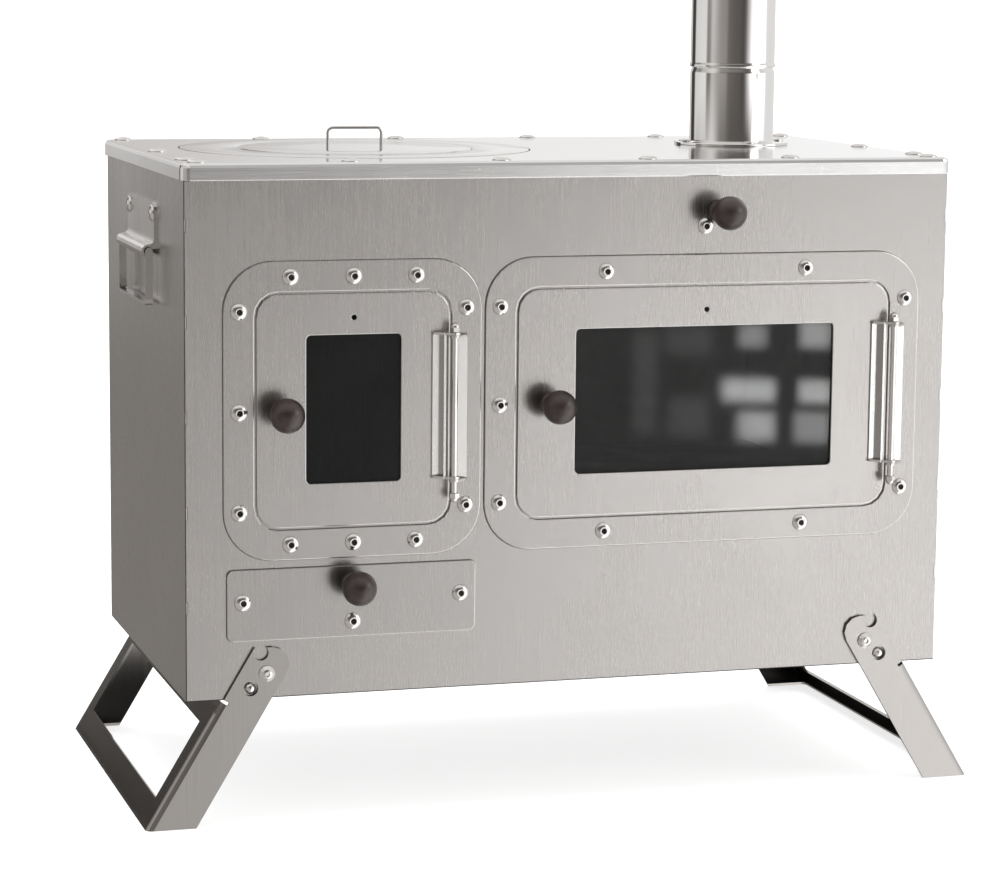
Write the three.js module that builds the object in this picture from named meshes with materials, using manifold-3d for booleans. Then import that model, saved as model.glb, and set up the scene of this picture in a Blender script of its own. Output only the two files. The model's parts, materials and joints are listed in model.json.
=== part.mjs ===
// Tent wood stove: a sheet steel box on two folding leg frames, with a firebox door, an oven door,
// an ash drawer, a hob with a lift-out ring and disc, a flue with one pipe section and a damper.
// Millimetres. +X is the stove's right as seen from the front, -Y is the front, +Z is up.
// The floor is Z = 0. Pieces are modelled about the middle of the body; the last lines move the
// whole stove along Y so that its overall box is centred on the origin.

import * as THREE from 'three';
import { mergeVertices } from 'three/addons/utils/BufferGeometryUtils.js';
import Module from 'manifold-3d';

const wasm = await Module();
wasm.setup();

// ---------------------------------------------------------------- driving dimensions

const FIT_GAP = 0.3; // between pieces that meet where one is cut or moves
const END_FLAT = 0.2; // short of a full half-round at the end of a strip

// body
const BODY_WIDTH = 520;
const BODY_DEPTH = 286;
const BODY_HEIGHT = 333; // body floor to the lower edge of the lid
const GROUND_CLEARANCE = 83;
const FRONT_SHEET = 1.5;
const WRAP_SHEET = 1.2;
const BOTTOM_SHEET = 1.2;
const LID_SHEET = 1.5;
const LID_FLANGE = 11;
const LID_BEND_RADIUS = 3;
const LID_CORNER_RADIUS = 6;
const WRAP_CORNER_RADIUS = 4;
const TAB_COUNT = 5; // interlock tabs on each front edge
const TAB_LENGTH = 8;
const TAB_TOP_MARGIN = 28; // top tab to the lid's lower edge

// doors
const DOOR_CENTER_HEIGHT = 185.8; // above the body floor
const DOOR_HEIGHT = 150;
const DOOR_SHEET = 1.5;
const DOOR_CORNER_RADIUS = 14;
const DOOR_LAP = 8; // how far a door laps the front panel around its opening
const FRAME_SHEET = 1.5;
const FRAME_GAP = 1.5; // between a door and the frame around it
const FRAME_HEIGHT = 192;
const FRAME_CORNER_RADIUS = 32;
const WINDOW_HEIGHT = 95.6;
const WINDOW_CORNER_RADIUS = 3;
const WINDOW_LIFT = 0.7;
const VENT_HOLE_RADIUS = 1.7;
const VENT_HOLE_LIFT = 59.5; // above the door's centre
const GLASS_THICKNESS = 4;
const GLASS_LAP = 4.5;
const RETAINER_SHEET = 1.2;
const RETAINER_VIEW = 1; // retainer's opening beyond each edge of the window

const FIREBOX_CENTER_X = -150.5;
const FIREBOX_DOOR_WIDTH = 127;
const FIREBOX_FRAME_WIDTH = 170;
const FIREBOX_WINDOW_WIDTH = 62.4;
const FIREBOX_KNOB_INSET = 15.8;

const OVEN_CENTER_X = 88.9;
const OVEN_DOOR_WIDTH = 259;
const OVEN_FRAME_WIDTH = 303.5;
const OVEN_WINDOW_WIDTH = 180.5;
const OVEN_KNOB_INSET = 22.6;

// door hinges
const HINGE_HEIGHT = 95;
const HINGE_OUTSET = 1.2; // pin axis beyond the door's edge
const HINGE_STANDOFF = 10; // pin axis in front of the front panel
const HINGE_PIN_RADIUS = 2;
const HINGE_BORE_GAP = 0.35;
const HINGE_EAR_RADIUS = 3.6;
const HINGE_SHEET = 1.5;
const HINGE_LEAF_REACH = 12.9; // door leaf's outer edge from the pin
const HINGE_LEAF_START = 5.5;
const HINGE_BODY_REACH = 10.4;
const HINGE_BODY_START = 4.2;
const HINGE_TAIL = 7; // plain pin below the lower ear
const HINGE_FLANGE_START = 0.5; // flange's front edge behind the pin's axis
const CAP_NUT_RADIUS = 3.6;
const CAP_NUT_HEIGHT = 6.5;

// knobs
const KNOB_RADIUS = 11.15;
const KNOB_STANDOFF = 21; // ball centre in front of the front panel
const KNOB_NECK_RADIUS = 5.5;
const KNOB_FOOT_RADIUS = 7.5;
const KNOB_FOOT_HEIGHT = 1.5; // and its taper into the neck
const KNOB_BORE_DEPTH = 11;
const SHAFT_RADIUS = 3;
const SHAFT_END_GAP = 1; // shaft's front end to the bottom of the knob's bore

// door latches
const LATCH_HALF_WIDTH = 4;
const LATCH_THICKNESS = 2;
const LATCH_LAP = 7.5; // tongue behind the front panel when the door is shut fast
const LATCH_CLEARANCE = 0.5;
const LATCH_SHAFT_END = 1; // shaft beyond the tongue

// ash drawer
const ASH_CENTER_X = -151;
const ASH_CENTER_HEIGHT = 61.2;
const ASH_PLATE_WIDTH = 165;
const ASH_PLATE_HEIGHT = 46.5;
const ASH_PLATE_SHEET = 1.5;
const ASH_PLATE_CORNER_RADIUS = 4;
const ASH_TRAY_WIDTH = 150;
const ASH_TRAY_HEIGHT = 35;
const ASH_TRAY_DEPTH = 240;
const ASH_TRAY_SHEET = 1;
const ASH_OPENING_GAP = 2;
const ASH_KNOB_LIFT = 11.5; // above the plate's centre
const RUNNER_SHEET = 1.2;
const RUNNER_FOOT = 12;
const RUNNER_HEIGHT = 18;

// fire chamber
const GRATE_HEIGHT = 92; // above the body floor
const GRATE_SHEET = 2;
const GRATE_SLOT_WIDTH = 7;
const GRATE_SLOT_COUNT = 12;
const GRATE_MARGIN = 14;
const GRATE_GAP = 1; // around the grate
const LEDGE_WIDTH = 12;
const LEDGE_SHEET = 1.2;
const DIVIDER_SHEET = 1.2;
const DIVIDER_OUTSET = 6; // divider's left face beyond the liner's left wall

// oven liner
const LINER_SHEET = 1;
const LINER_WIDTH = 264; // inside
const LINER_FLOOR_HEIGHT = 115.5;
const LINER_HEIGHT = 142.5;
const LINER_DEPTH = 263.5;

// hob
const HOB_SIDES = 48; // facets round the hob's circles
const HOB_CENTER_X = -111;
const HOB_BACK_MARGIN = 10.5; // ring to the back of the body
const HOB_FRONT_MARGIN = 36.5; // ring to the front of the body
const HOB_RING_WIDTH = 39;
const HOB_SHEET = 1.5;
const HOB_GAP = 0.7; // around the ring and around the disc
const HOB_SEAT_WIDTH = 11.5;
const HOB_SEAT_REACH = 7.5; // seat's inner edge in from the edge of the lid's hole
const HOB_SEAT_SHEET = 1.5;
const HOB_LEDGE_LAP = 6.5;
const HOB_HANDLE_WIDTH = 38;
const HOB_HANDLE_HEIGHT = 14.5;
const HOB_HANDLE_ROD_RADIUS = 1.2;
const HOB_HANDLE_BEND_RADIUS = 3.5; // to the rod's middle

// flue
const FLUE_SIDES = 32; // facets round the flue
const FLUE_CENTER_X = 171;
const FLUE_BACK_MARGIN = 111; // flue axis to the back of the body
const FLUE_RADIUS = 30;
const FLUE_WALL = 0.9;
const FLUE_FLANGE_RADIUS = 40.7;
const FLUE_FLANGE_SHEET = 2;
const FLUE_COLLAR_HEIGHT = 54.5; // lid to the seam with the pipe
const FLUE_SPIGOT_LENGTH = 32;
const FLUE_STUB_LENGTH = 37; // below the lid's top face
const FLUE_SWAGE = 3; // length of the step between two diameters
const PIPE_LENGTH = 330;
const PIPE_LIP = 0.6;
const PIPE_LIP_HEIGHT = 2.5;
const PIPE_LIP_TAPER = 1;

// flue damper
const DAMPER_ROD_X = 96.8;
const DAMPER_ROD_DROP = 23.1; // below the lid's lower edge
const DAMPER_PLATE_SHEET = 1.4;
const DAMPER_PLATE_LENGTH = 68; // and travel
const DAMPER_PLATE_CLEARANCE = 4; // behind the flue when the damper is open
const DAMPER_PLATE_WIDTH = 122;
const DAMPER_ROD_INSET = 4; // rod axis in from the plate's left edge
const DAMPER_RAIL_WIDTH = 12;
const DAMPER_RAIL_SHEET = 1.2;
const DAMPER_GUIDE_REACH = 24;
const DAMPER_GUIDE_LEFT = 15; // flange's left edge beyond the rod's axis
const DAMPER_GUIDE_FLANGE = 12;
const DAMPER_EYE_RIM = 3; // eye's metal beside and above the rod

// legs
const LEG_PIVOT_X = 207.8;
const LEG_PIVOT_HEIGHT = 16.4; // above the body floor
const LEG_LEAN_DEG = 59.1; // arm above the horizontal
const LEG_WIDTH = 28;
const LEG_SHEET = 2;
const LEG_SIDE_GAP = 0.5; // between an arm and the body
const LEG_PIVOT_OFFSET = 16.8; // pivot to the outer edge
const LEG_TOP_HEIGHT = 17.1; // pivot to the arm's level top edge
const LEG_TOP_RADIUS = 11;
const LEG_BEND_RADIUS = 4;
const LEG_WEB_LENGTH = 95.7; // from the foot's outer corner
const LEG_BAR_WIDTH = 19.5; // cross bars and borders around the web's window
const LEG_RELIEF = 2; // slot between the web's top edge and the arm beside it
const LEG_SHOULDER = 1; // arm's outer edge above the web, in from the web's face
const LEG_FOLD_DEG = 116.5;
const LEG_LOCK_RADIUS = 14.15; // pivot to a lock hole
const LEG_LOCK_DEG = 41.6; // lock hole below the horizontal, outwards from the pivot
const LEG_LOCK_HOLE_RADIUS = 5;
const PIVOT_RADIUS = 3;
const PIVOT_HEAD_RADIUS = 5.3;
const PIVOT_HEAD_HEIGHT = 2.6;
const PIVOT_NUT_RADIUS = 5.7;
const PIVOT_NUT_HEIGHT = 5;
const PIVOT_NUT_STICKOUT = 1; // bolt beyond its nut
const PIVOT_SOCKET_RADIUS = 1.7;
const PIVOT_SOCKET_DEPTH = 1.2;
const LOCK_BUTTON_RADIUS = 3.6;
const LOCK_BUTTON_PROUD = 1; // beyond the arm's outer face
const LOCK_DOME_HEIGHT = 2;
const LOCK_LEAF_SHEET = 0.8;
const LOCK_LEAF_LENGTH = 36;
const LOCK_LEAF_WIDTH = 8.6;

// carry handles on the two ends
const HANDLE_AXIS_DROP = 52; // below the lid's lower edge
const HANDLE_AXIS_OFF = 5.2; // in front of the side wall
const HANDLE_HALF_WIDTH = 48.5;
const HANDLE_PLATE_HEIGHT = 32;
const HANDLE_SHEET = 1.5;
const HANDLE_CURL_RADIUS = 4.5;
const HANDLE_CORNER_RADIUS = 5;
const BAIL_BAR_RADIUS = 2.3;
const BAIL_STRAP = 5;
const BAIL_SHEET = 2;
const BAIL_DROP = 35.5;
const BAIL_CORNER_RADIUS = 4;

// ---------------------------------------------------------------- planes that pieces share

const SIDE_X = BODY_WIDTH / 2;
const FRONT_Y = -BODY_DEPTH / 2;
const PANEL_BACK_Y = FRONT_Y + FRONT_SHEET;
const BACK_Y = BODY_DEPTH / 2;
const INNER_SIDE_X = SIDE_X - WRAP_SHEET;
const INNER_BACK_Y = BACK_Y - WRAP_SHEET;
const BASE_Z = GROUND_CLEARANCE;
const LID_TOP_Z = BASE_Z + BODY_HEIGHT + LID_FLANGE;
const LID_UNDER_Z = LID_TOP_Z - LID_SHEET;
const LID_LOW_Z = LID_TOP_Z - LID_FLANGE;
const WALL_TOP_Z = LID_UNDER_Z - (LID_BEND_RADIUS - LID_SHEET); // below the lid's inner bend
const DOOR_Z = BASE_Z + DOOR_CENTER_HEIGHT;
const PIVOT_Z = BASE_Z + LEG_PIVOT_HEIGHT;
const FRONT_REACH = KNOB_STANDOFF + KNOB_RADIUS;
const ARM_OUTER_OFF = LEG_SIDE_GAP + LEG_SHEET; // arm's outer face beyond the body
const BACK_REACH = ARM_OUTER_OFF + FIT_GAP + PIVOT_HEAD_HEIGHT;

const HOB_RING_RADIUS = (BODY_DEPTH - HOB_BACK_MARGIN - HOB_FRONT_MARGIN) / 2;
const HOB_DISC_RADIUS = HOB_RING_RADIUS - HOB_RING_WIDTH - HOB_GAP;
const HOB_CENTER_Y = BACK_Y - HOB_BACK_MARGIN - HOB_RING_RADIUS;
const FLUE_CENTER_Y = BACK_Y - FLUE_BACK_MARGIN;
const DAMPER_PLATE_FRONT_Y = FLUE_CENTER_Y + FLUE_RADIUS + DAMPER_PLATE_CLEARANCE;

// A leg's lock holes sit at this place from its pivot: x outwards, z up.
const LOCK_ANGLE = THREE.MathUtils.degToRad(LEG_LOCK_DEG);
const LOCK_OUT = LEG_LOCK_RADIUS * Math.cos(LOCK_ANGLE);
const LOCK_DOWN = LEG_LOCK_RADIUS * Math.sin(LOCK_ANGLE);

// ---------------------------------------------------------------- materials

function metal(color, roughness, metalness = 1) {
  return () => new THREE.MeshStandardMaterial({ color, roughness, metalness });
}

const brushedSteel = metal(0xb8b3ad, 0.38);
const polishedSteel = metal(0xd5d3d0, 0.14);
const lidSteel = metal(0xcfcdca, 0.22);
const innerSteel = metal(0x86827d, 0.5);
const blackenedSteel = metal(0x3a3836, 0.65);
const boltSteel = metal(0xc9c6c2, 0.2);
const brownKnob = metal(0x3a2724, 0.42, 0);

function ceramicGlass() {
  const look = { color: 0x14161a, roughness: 0.06, metalness: 0, transparent: true, opacity: 0.45 };
  return new THREE.MeshStandardMaterial(look);
}

// ---------------------------------------------------------------- solids

// The closed solid of a three.js geometry: shared corners merged, empty faces dropped, and the
// faces turned round where they point inwards.
function solid(geometry) {
  const bare = geometry.clone();
  bare.deleteAttribute('normal');
  bare.deleteAttribute('uv');
  const merged = mergeVertices(bare, 1e-4);
  const places = merged.attributes.position.array;
  const corner = (i) => new THREE.Vector3().fromArray(places, 3 * i);
  const faces = [];
  let volume = 0;
  for (let i = 0; i < merged.index.count; i += 3) {
    const [a, b, c] = [0, 1, 2].map((k) => merged.index.getX(i + k));
    if (a === b || b === c || c === a) continue;
    faces.push([a, b, c]);
    volume += corner(a).dot(corner(b).cross(corner(c)));
  }
  const triVerts = new Uint32Array((volume < 0 ? faces.map((f) => f.reverse()) : faces).flat());
  const vertProperties = new Float32Array(places);
  return new wasm.Manifold(new wasm.Mesh({ numProp: 3, vertProperties, triVerts }));
}

function joined(first, ...others) {
  return others.reduce((sum, other) => sum.add(other), first);
}

function cut(body, ...tools) {
  return tools.reduce((rest, tool) => rest.subtract(tool), body);
}

function block(x0, x1, y0, y1, z0, z1) {
  const geometry = new THREE.BoxGeometry(x1 - x0, y1 - y0, z1 - z0);
  geometry.translate((x0 + x1) / 2, (y0 + y1) / 2, (z0 + z1) / 2);
  return solid(geometry);
}

// A cylinder along Y from y0 to y1 about (x, z).
function rodY(radius, x, z, y0, y1, sides = 16) {
  const geometry = new THREE.CylinderGeometry(radius, radius, y1 - y0, sides);
  geometry.translate(x, (y0 + y1) / 2, z);
  return solid(geometry);
}

// A cylinder along Z from z0 to z1 about (x, y).
function rodZ(radius, x, y, z0, z1, sides = 16) {
  const geometry = new THREE.CylinderGeometry(radius, radius, z1 - z0, sides);
  geometry.rotateX(Math.PI / 2);
  geometry.translate(x, y, (z0 + z1) / 2);
  return solid(geometry);
}

// A turned piece about Y. The profile is a list of [radius, y].
function turnedY(profile, segments = 16) {
  const points = profile.map(([radius, y]) => new THREE.Vector2(radius, y));
  return solid(new THREE.LatheGeometry(points, segments));
}

// A turned piece about Z. The profile is a list of [radius, z].
function turnedZ(profile, segments = FLUE_SIDES) {
  const points = profile.map(([radius, z]) => new THREE.Vector2(radius, z));
  const geometry = new THREE.LatheGeometry(points, segments);
  geometry.rotateX(Math.PI / 2);
  return solid(geometry);
}

// A turned tube or ring: its profile closes on itself.
function turnedRing(profile, segments = FLUE_SIDES) {
  return turnedZ([...profile, profile[0]], segments);
}

function polygon(points, Path = THREE.Shape) {
  return new Path(points.map(([x, z]) => new THREE.Vector2(x, z)));
}

// A rectangle about (x, z) with round corners, each drawn in the given number of steps.
function roundedRect(Path, x, z, width, height, radius, steps = 4) {
  const points = [];
  for (let quarter = 0; quarter < 4; quarter += 1) {
    const sideX = quarter === 0 || quarter === 3 ? 1 : -1;
    const sideZ = quarter < 2 ? 1 : -1;
    const cx = x + sideX * (width / 2 - radius);
    const cz = z + sideZ * (height / 2 - radius);
    for (let i = 0; i <= steps; i += 1) {
      const angle = ((quarter + i / steps) * Math.PI) / 2;
      points.push([cx + radius * Math.cos(angle), cz + radius * Math.sin(angle)]);
    }
  }
  return polygon(points, Path);
}

function circle(x, z, radius, sides = 16) {
  const points = Array.from({ length: sides }, (_, i) => {
    const angle = (2 * Math.PI * i) / sides;
    return [x + radius * Math.cos(angle), z + radius * Math.sin(angle)];
  });
  return polygon(points, THREE.Path);
}

// The same outline, mirrored in its first direction when side is -1.
function facing(side, shape, divisions = 2) {
  return polygon(shape.getPoints(divisions).map((point) => [side * point.x, point.y]));
}

// A sheet or bar whose outline is drawn in X and Z, from y0 back to y1.
function plateY(shape, y0, y1, curveSegments = 2) {
  const geometry = new THREE.ExtrudeGeometry(shape, { depth: y1 - y0, bevelEnabled: false, curveSegments });
  geometry.rotateX(Math.PI / 2);
  geometry.translate(0, y1, 0);
  return solid(geometry);
}

// A sheet or bar whose outline is drawn in X and Y, from z0 up to z1.
function plateZ(shape, z0, z1, curveSegments = 2) {
  const geometry = new THREE.ExtrudeGeometry(shape, { depth: z1 - z0, bevelEnabled: false, curveSegments });
  geometry.translate(0, 0, z0);
  return solid(geometry);
}

// A bar whose outline is drawn in Y and Z, from x0 to x1.
function plateX(shape, x0, x1, curveSegments = 2) {
  const geometry = new THREE.ExtrudeGeometry(shape, { depth: x1 - x0, bevelEnabled: false, curveSegments });
  geometry.rotateY(Math.PI / 2);
  geometry.rotateX(Math.PI / 2);
  geometry.translate(x0, 0, 0);
  return solid(geometry);
}

function faces(body) {
  const mesh = body.getMesh();
  const corners = [];
  for (let i = 0; i < mesh.numVert; i += 1) {
    corners.push(...mesh.vertProperties.slice(i * mesh.numProp, i * mesh.numProp + 3));
  }
  const geometry = new THREE.BufferGeometry();
  geometry.setAttribute('position', new THREE.Float32BufferAttribute(corners, 3));
  geometry.setIndex([...mesh.triVerts]);
  geometry.computeVertexNormals();
  return geometry;
}

function addPiece(group, name, body, material) {
  const mesh = new THREE.Mesh(faces(body), material());
  mesh.name = name;
  group.add(mesh);
}

function groupAt(parent, x, y, z) {
  const group = new THREE.Group();
  group.position.set(x, y, z);
  parent.add(group);
  return group;
}

// ---------------------------------------------------------------- body

const DOORS = [
  {
    name: 'firebox',
    x: FIREBOX_CENTER_X,
    doorWidth: FIREBOX_DOOR_WIDTH,
    frameWidth: FIREBOX_FRAME_WIDTH,
    windowWidth: FIREBOX_WINDOW_WIDTH,
    knobInset: FIREBOX_KNOB_INSET,
  },
  {
    name: 'oven',
    x: OVEN_CENTER_X,
    doorWidth: OVEN_DOOR_WIDTH,
    frameWidth: OVEN_FRAME_WIDTH,
    windowWidth: OVEN_WINDOW_WIDTH,
    knobInset: OVEN_KNOB_INSET,
  },
];

const ASH_Z = BASE_Z + ASH_CENTER_HEIGHT;
const ASH_OPENING_WIDTH = ASH_TRAY_WIDTH + 2 * ASH_OPENING_GAP;
const ASH_OPENING_HEIGHT = ASH_TRAY_HEIGHT + 2 * ASH_OPENING_GAP;
const ASH_TRAY_FLOOR_Z = ASH_Z - ASH_TRAY_HEIGHT / 2;
const DAMPER_ROD_Z = LID_LOW_Z - DAMPER_ROD_DROP;
const TAB_PITCH = (BODY_HEIGHT - TAB_TOP_MARGIN) / TAB_COUNT;
const TAB_HEIGHTS = Array.from({ length: TAB_COUNT }, (_, i) => BASE_Z + (i + 1) * TAB_PITCH);

// The holes of the leg pivots and leg locks, through the front or the back wall.
function legHoles(y0, y1) {
  return [-1, 1].flatMap((side) => {
    const pivotX = side * LEG_PIVOT_X;
    const lockX = pivotX + side * LOCK_OUT;
    const lockRadius = LOCK_BUTTON_RADIUS + FIT_GAP;
    return [
      rodY(PIVOT_RADIUS + FIT_GAP, pivotX, PIVOT_Z, y0, y1),
      rodY(lockRadius, lockX, PIVOT_Z - LOCK_DOWN, y0, y1),
    ];
  });
}

// The walls' front corners are notched, so that they clear the rounded corners of the lid's flange.
function lidCornerNotches() {
  const notch = LID_CORNER_RADIUS - LID_SHEET;
  return [-SIDE_X - 1, SIDE_X - notch].map((x) =>
    block(x, x + notch + 1, FRONT_Y - 1, FRONT_Y + notch, LID_LOW_Z - FIT_GAP, LID_TOP_Z),
  );
}

function frontPanel() {
  const outline = new THREE.Shape();
  const tabDepth = WRAP_SHEET + FIT_GAP;
  const tabHalf = TAB_LENGTH / 2 + FIT_GAP;
  outline.moveTo(-SIDE_X, BASE_Z);
  outline.lineTo(SIDE_X, BASE_Z);
  for (const z of TAB_HEIGHTS) {
    outline.lineTo(SIDE_X, z - tabHalf);
    outline.lineTo(SIDE_X - tabDepth, z - tabHalf);
    outline.lineTo(SIDE_X - tabDepth, z + tabHalf);
    outline.lineTo(SIDE_X, z + tabHalf);
  }
  outline.lineTo(SIDE_X, WALL_TOP_Z);
  outline.lineTo(-SIDE_X, WALL_TOP_Z);
  for (const z of [...TAB_HEIGHTS].reverse()) {
    outline.lineTo(-SIDE_X, z + tabHalf);
    outline.lineTo(-SIDE_X + tabDepth, z + tabHalf);
    outline.lineTo(-SIDE_X + tabDepth, z - tabHalf);
    outline.lineTo(-SIDE_X, z - tabHalf);
  }
  for (const door of DOORS) {
    const width = door.doorWidth - 2 * DOOR_LAP;
    const height = DOOR_HEIGHT - 2 * DOOR_LAP;
    const radius = DOOR_CORNER_RADIUS - DOOR_LAP / 2;
    outline.holes.push(roundedRect(THREE.Path, door.x, DOOR_Z, width, height, radius));
  }
  outline.holes.push(
    roundedRect(THREE.Path, ASH_CENTER_X, ASH_Z, ASH_OPENING_WIDTH, ASH_OPENING_HEIGHT, ASH_OPENING_GAP),
    circle(DAMPER_ROD_X, DAMPER_ROD_Z, SHAFT_RADIUS + FIT_GAP),
  );
  const holes = legHoles(FRONT_Y - 1, PANEL_BACK_Y + 1);
  return cut(plateY(outline, FRONT_Y, PANEL_BACK_Y), ...holes, ...lidCornerNotches());
}

// One sheet bent round the left side, the back and the right side, with tabs through the front panel.
function bodyWrap() {
  const outer = WRAP_CORNER_RADIUS;
  const inner = WRAP_CORNER_RADIUS - WRAP_SHEET;
  const outline = new THREE.Shape();
  outline.moveTo(-SIDE_X, PANEL_BACK_Y);
  outline.lineTo(-INNER_SIDE_X, PANEL_BACK_Y);
  outline.absarc(-INNER_SIDE_X + inner, INNER_BACK_Y - inner, inner, Math.PI, Math.PI / 2, true);
  outline.absarc(INNER_SIDE_X - inner, INNER_BACK_Y - inner, inner, Math.PI / 2, 0, true);
  outline.lineTo(INNER_SIDE_X, PANEL_BACK_Y);
  outline.lineTo(SIDE_X, PANEL_BACK_Y);
  outline.absarc(SIDE_X - outer, BACK_Y - outer, outer, 0, Math.PI / 2);
  outline.absarc(-SIDE_X + outer, BACK_Y - outer, outer, Math.PI / 2, Math.PI);
  const sheet = plateZ(outline, BASE_Z, WALL_TOP_Z);
  const tabs = [-1, 1].flatMap((side) =>
    TAB_HEIGHTS.map((z) => {
      const xs = [side * SIDE_X, side * INNER_SIDE_X].sort((a, b) => a - b);
      return block(...xs, FRONT_Y, PANEL_BACK_Y + TAB_LENGTH, z - TAB_LENGTH / 2, z + TAB_LENGTH / 2);
    }),
  );
  const holes = legHoles(INNER_BACK_Y - 1, BACK_Y + 1);
  return cut(joined(sheet, ...tabs), ...holes, ...lidCornerNotches());
}

function bottomPanel() {
  const x = INNER_SIDE_X - FIT_GAP;
  const y0 = PANEL_BACK_Y + FIT_GAP;
  const width = INNER_BACK_Y - FIT_GAP - y0;
  const outline = roundedRect(THREE.Shape, 0, y0 + width / 2, 2 * x, width, WRAP_CORNER_RADIUS);
  return plateZ(outline, BASE_Z, BASE_Z + BOTTOM_SHEET);
}

// A tray with a level top and a short flange all round, over the top of the walls.
function lid() {
  const halfX = SIDE_X + FIT_GAP + LID_SHEET;
  const halfY = BACK_Y + FIT_GAP + LID_SHEET;
  const dome = (inset, top) => {
    const radius = LID_BEND_RADIUS - inset;
    const shape = roundedRect(
      THREE.Shape,
      0,
      0,
      2 * (halfX - inset - radius),
      2 * (halfY - inset - radius),
      LID_CORNER_RADIUS - inset - radius,
    );
    const below = LID_FLANGE + LID_BEND_RADIUS;
    const geometry = new THREE.ExtrudeGeometry(shape, {
      depth: below,
      bevelThickness: radius,
      bevelSize: radius,
      bevelSegments: 2,
    });
    geometry.translate(0, 0, top - radius - below);
    return solid(geometry);
  };
  const floorCut = block(-halfX, halfX, -halfY, halfY, LID_LOW_Z - 2 * LID_FLANGE, LID_LOW_Z);
  const holeTop = LID_TOP_Z + 1;
  const holeLow = LID_LOW_Z;
  return cut(
    dome(0, LID_TOP_Z),
    dome(LID_SHEET, LID_UNDER_Z),
    floorCut,
    rodZ(HOB_RING_RADIUS + HOB_GAP, HOB_CENTER_X, HOB_CENTER_Y, holeLow, holeTop, HOB_SIDES),
    rodZ(FLUE_RADIUS + FIT_GAP, FLUE_CENTER_X, FLUE_CENTER_Y, holeLow, holeTop, FLUE_SIDES),
  );
}

// ---------------------------------------------------------------- hob

function hobSeat() {
  const inner = HOB_RING_RADIUS + HOB_GAP - HOB_SEAT_REACH;
  const outer = inner + HOB_SEAT_WIDTH;
  return turnedRing([
    [inner, -HOB_SEAT_SHEET],
    [outer, -HOB_SEAT_SHEET],
    [outer, 0],
    [inner, 0],
  ], HOB_SIDES);
}

// The ring has a ledge welded under its inner edge, which carries the disc.
function hobRing() {
  const holeRadius = HOB_DISC_RADIUS + HOB_GAP;
  const ledgeInner = holeRadius - HOB_LEDGE_LAP;
  const ledgeOuter = holeRadius + HOB_LEDGE_LAP;
  return turnedRing([
    [holeRadius, HOB_SHEET],
    [holeRadius, 0],
    [ledgeInner, 0],
    [ledgeInner, -HOB_SEAT_SHEET],
    [ledgeOuter, -HOB_SEAT_SHEET],
    [ledgeOuter, 0],
    [HOB_RING_RADIUS, 0],
    [HOB_RING_RADIUS, HOB_SHEET],
  ], HOB_SIDES);
}

function hobDisc() {
  return turnedZ([
    [0, 0],
    [HOB_DISC_RADIUS, 0],
    [HOB_DISC_RADIUS, HOB_SHEET],
    [0, HOB_SHEET],
  ], HOB_SIDES);
}

// A round rod bent into an arch over the disc's middle, with both feet on the disc.
function discHandle() {
  const half = HOB_HANDLE_WIDTH / 2 - HOB_HANDLE_ROD_RADIUS;
  const top = HOB_HANDLE_HEIGHT - HOB_HANDLE_ROD_RADIUS;
  const bend = HOB_HANDLE_BEND_RADIUS;
  const at = (x, z) => new THREE.Vector3(x, 0, z);
  const path = new THREE.CurvePath();
  path.add(new THREE.LineCurve3(at(-half, 0), at(-half, top - bend)));
  path.add(new THREE.QuadraticBezierCurve3(at(-half, top - bend), at(-half, top), at(-half + bend, top)));
  path.add(new THREE.LineCurve3(at(-half + bend, top), at(half - bend, top)));
  path.add(new THREE.QuadraticBezierCurve3(at(half - bend, top), at(half, top), at(half, top - bend)));
  path.add(new THREE.LineCurve3(at(half, top - bend), at(half, 0)));
  const section = new THREE.Shape(circle(0, 0, HOB_HANDLE_ROD_RADIUS, 8).getPoints());
  return solid(new THREE.ExtrudeGeometry(section, { steps: 19, extrudePath: path }));
}

function addHob(stove) {
  const hob = groupAt(stove, HOB_CENTER_X, HOB_CENTER_Y, LID_UNDER_Z);
  addPiece(hob, 'hob_seat_ring', hobSeat(), innerSteel);
  const ring = groupAt(hob, 0, 0, FIT_GAP);
  addPiece(ring, 'hob_ring', hobRing(), lidSteel);
  const disc = groupAt(ring, 0, 0, FIT_GAP);
  addPiece(disc, 'hob_disc', hobDisc(), lidSteel);
  addPiece(groupAt(disc, 0, 0, HOB_SHEET), 'hob_disc_handle', discHandle(), polishedSteel);
}

// ---------------------------------------------------------------- flue

// Heights are measured from the lid's top face.
function flueCollar() {
  const spigotRadius = FLUE_RADIUS - FLUE_WALL - FIT_GAP;
  const top = FLUE_COLLAR_HEIGHT + FLUE_SPIGOT_LENGTH;
  return turnedRing([
    [FLUE_RADIUS - FLUE_WALL, -FLUE_STUB_LENGTH],
    [FLUE_RADIUS, -FLUE_STUB_LENGTH],
    [FLUE_RADIUS, 0],
    [FLUE_FLANGE_RADIUS, 0],
    [FLUE_FLANGE_RADIUS, FLUE_FLANGE_SHEET],
    [FLUE_RADIUS, FLUE_FLANGE_SHEET],
    [FLUE_RADIUS, FLUE_COLLAR_HEIGHT - FLUE_SWAGE],
    [spigotRadius, FLUE_COLLAR_HEIGHT],
    [spigotRadius, top],
    [spigotRadius - FLUE_WALL, top],
    [spigotRadius - FLUE_WALL, FLUE_COLLAR_HEIGHT],
    [FLUE_RADIUS - FLUE_WALL, FLUE_COLLAR_HEIGHT - FLUE_SWAGE],
  ]);
}

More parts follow.
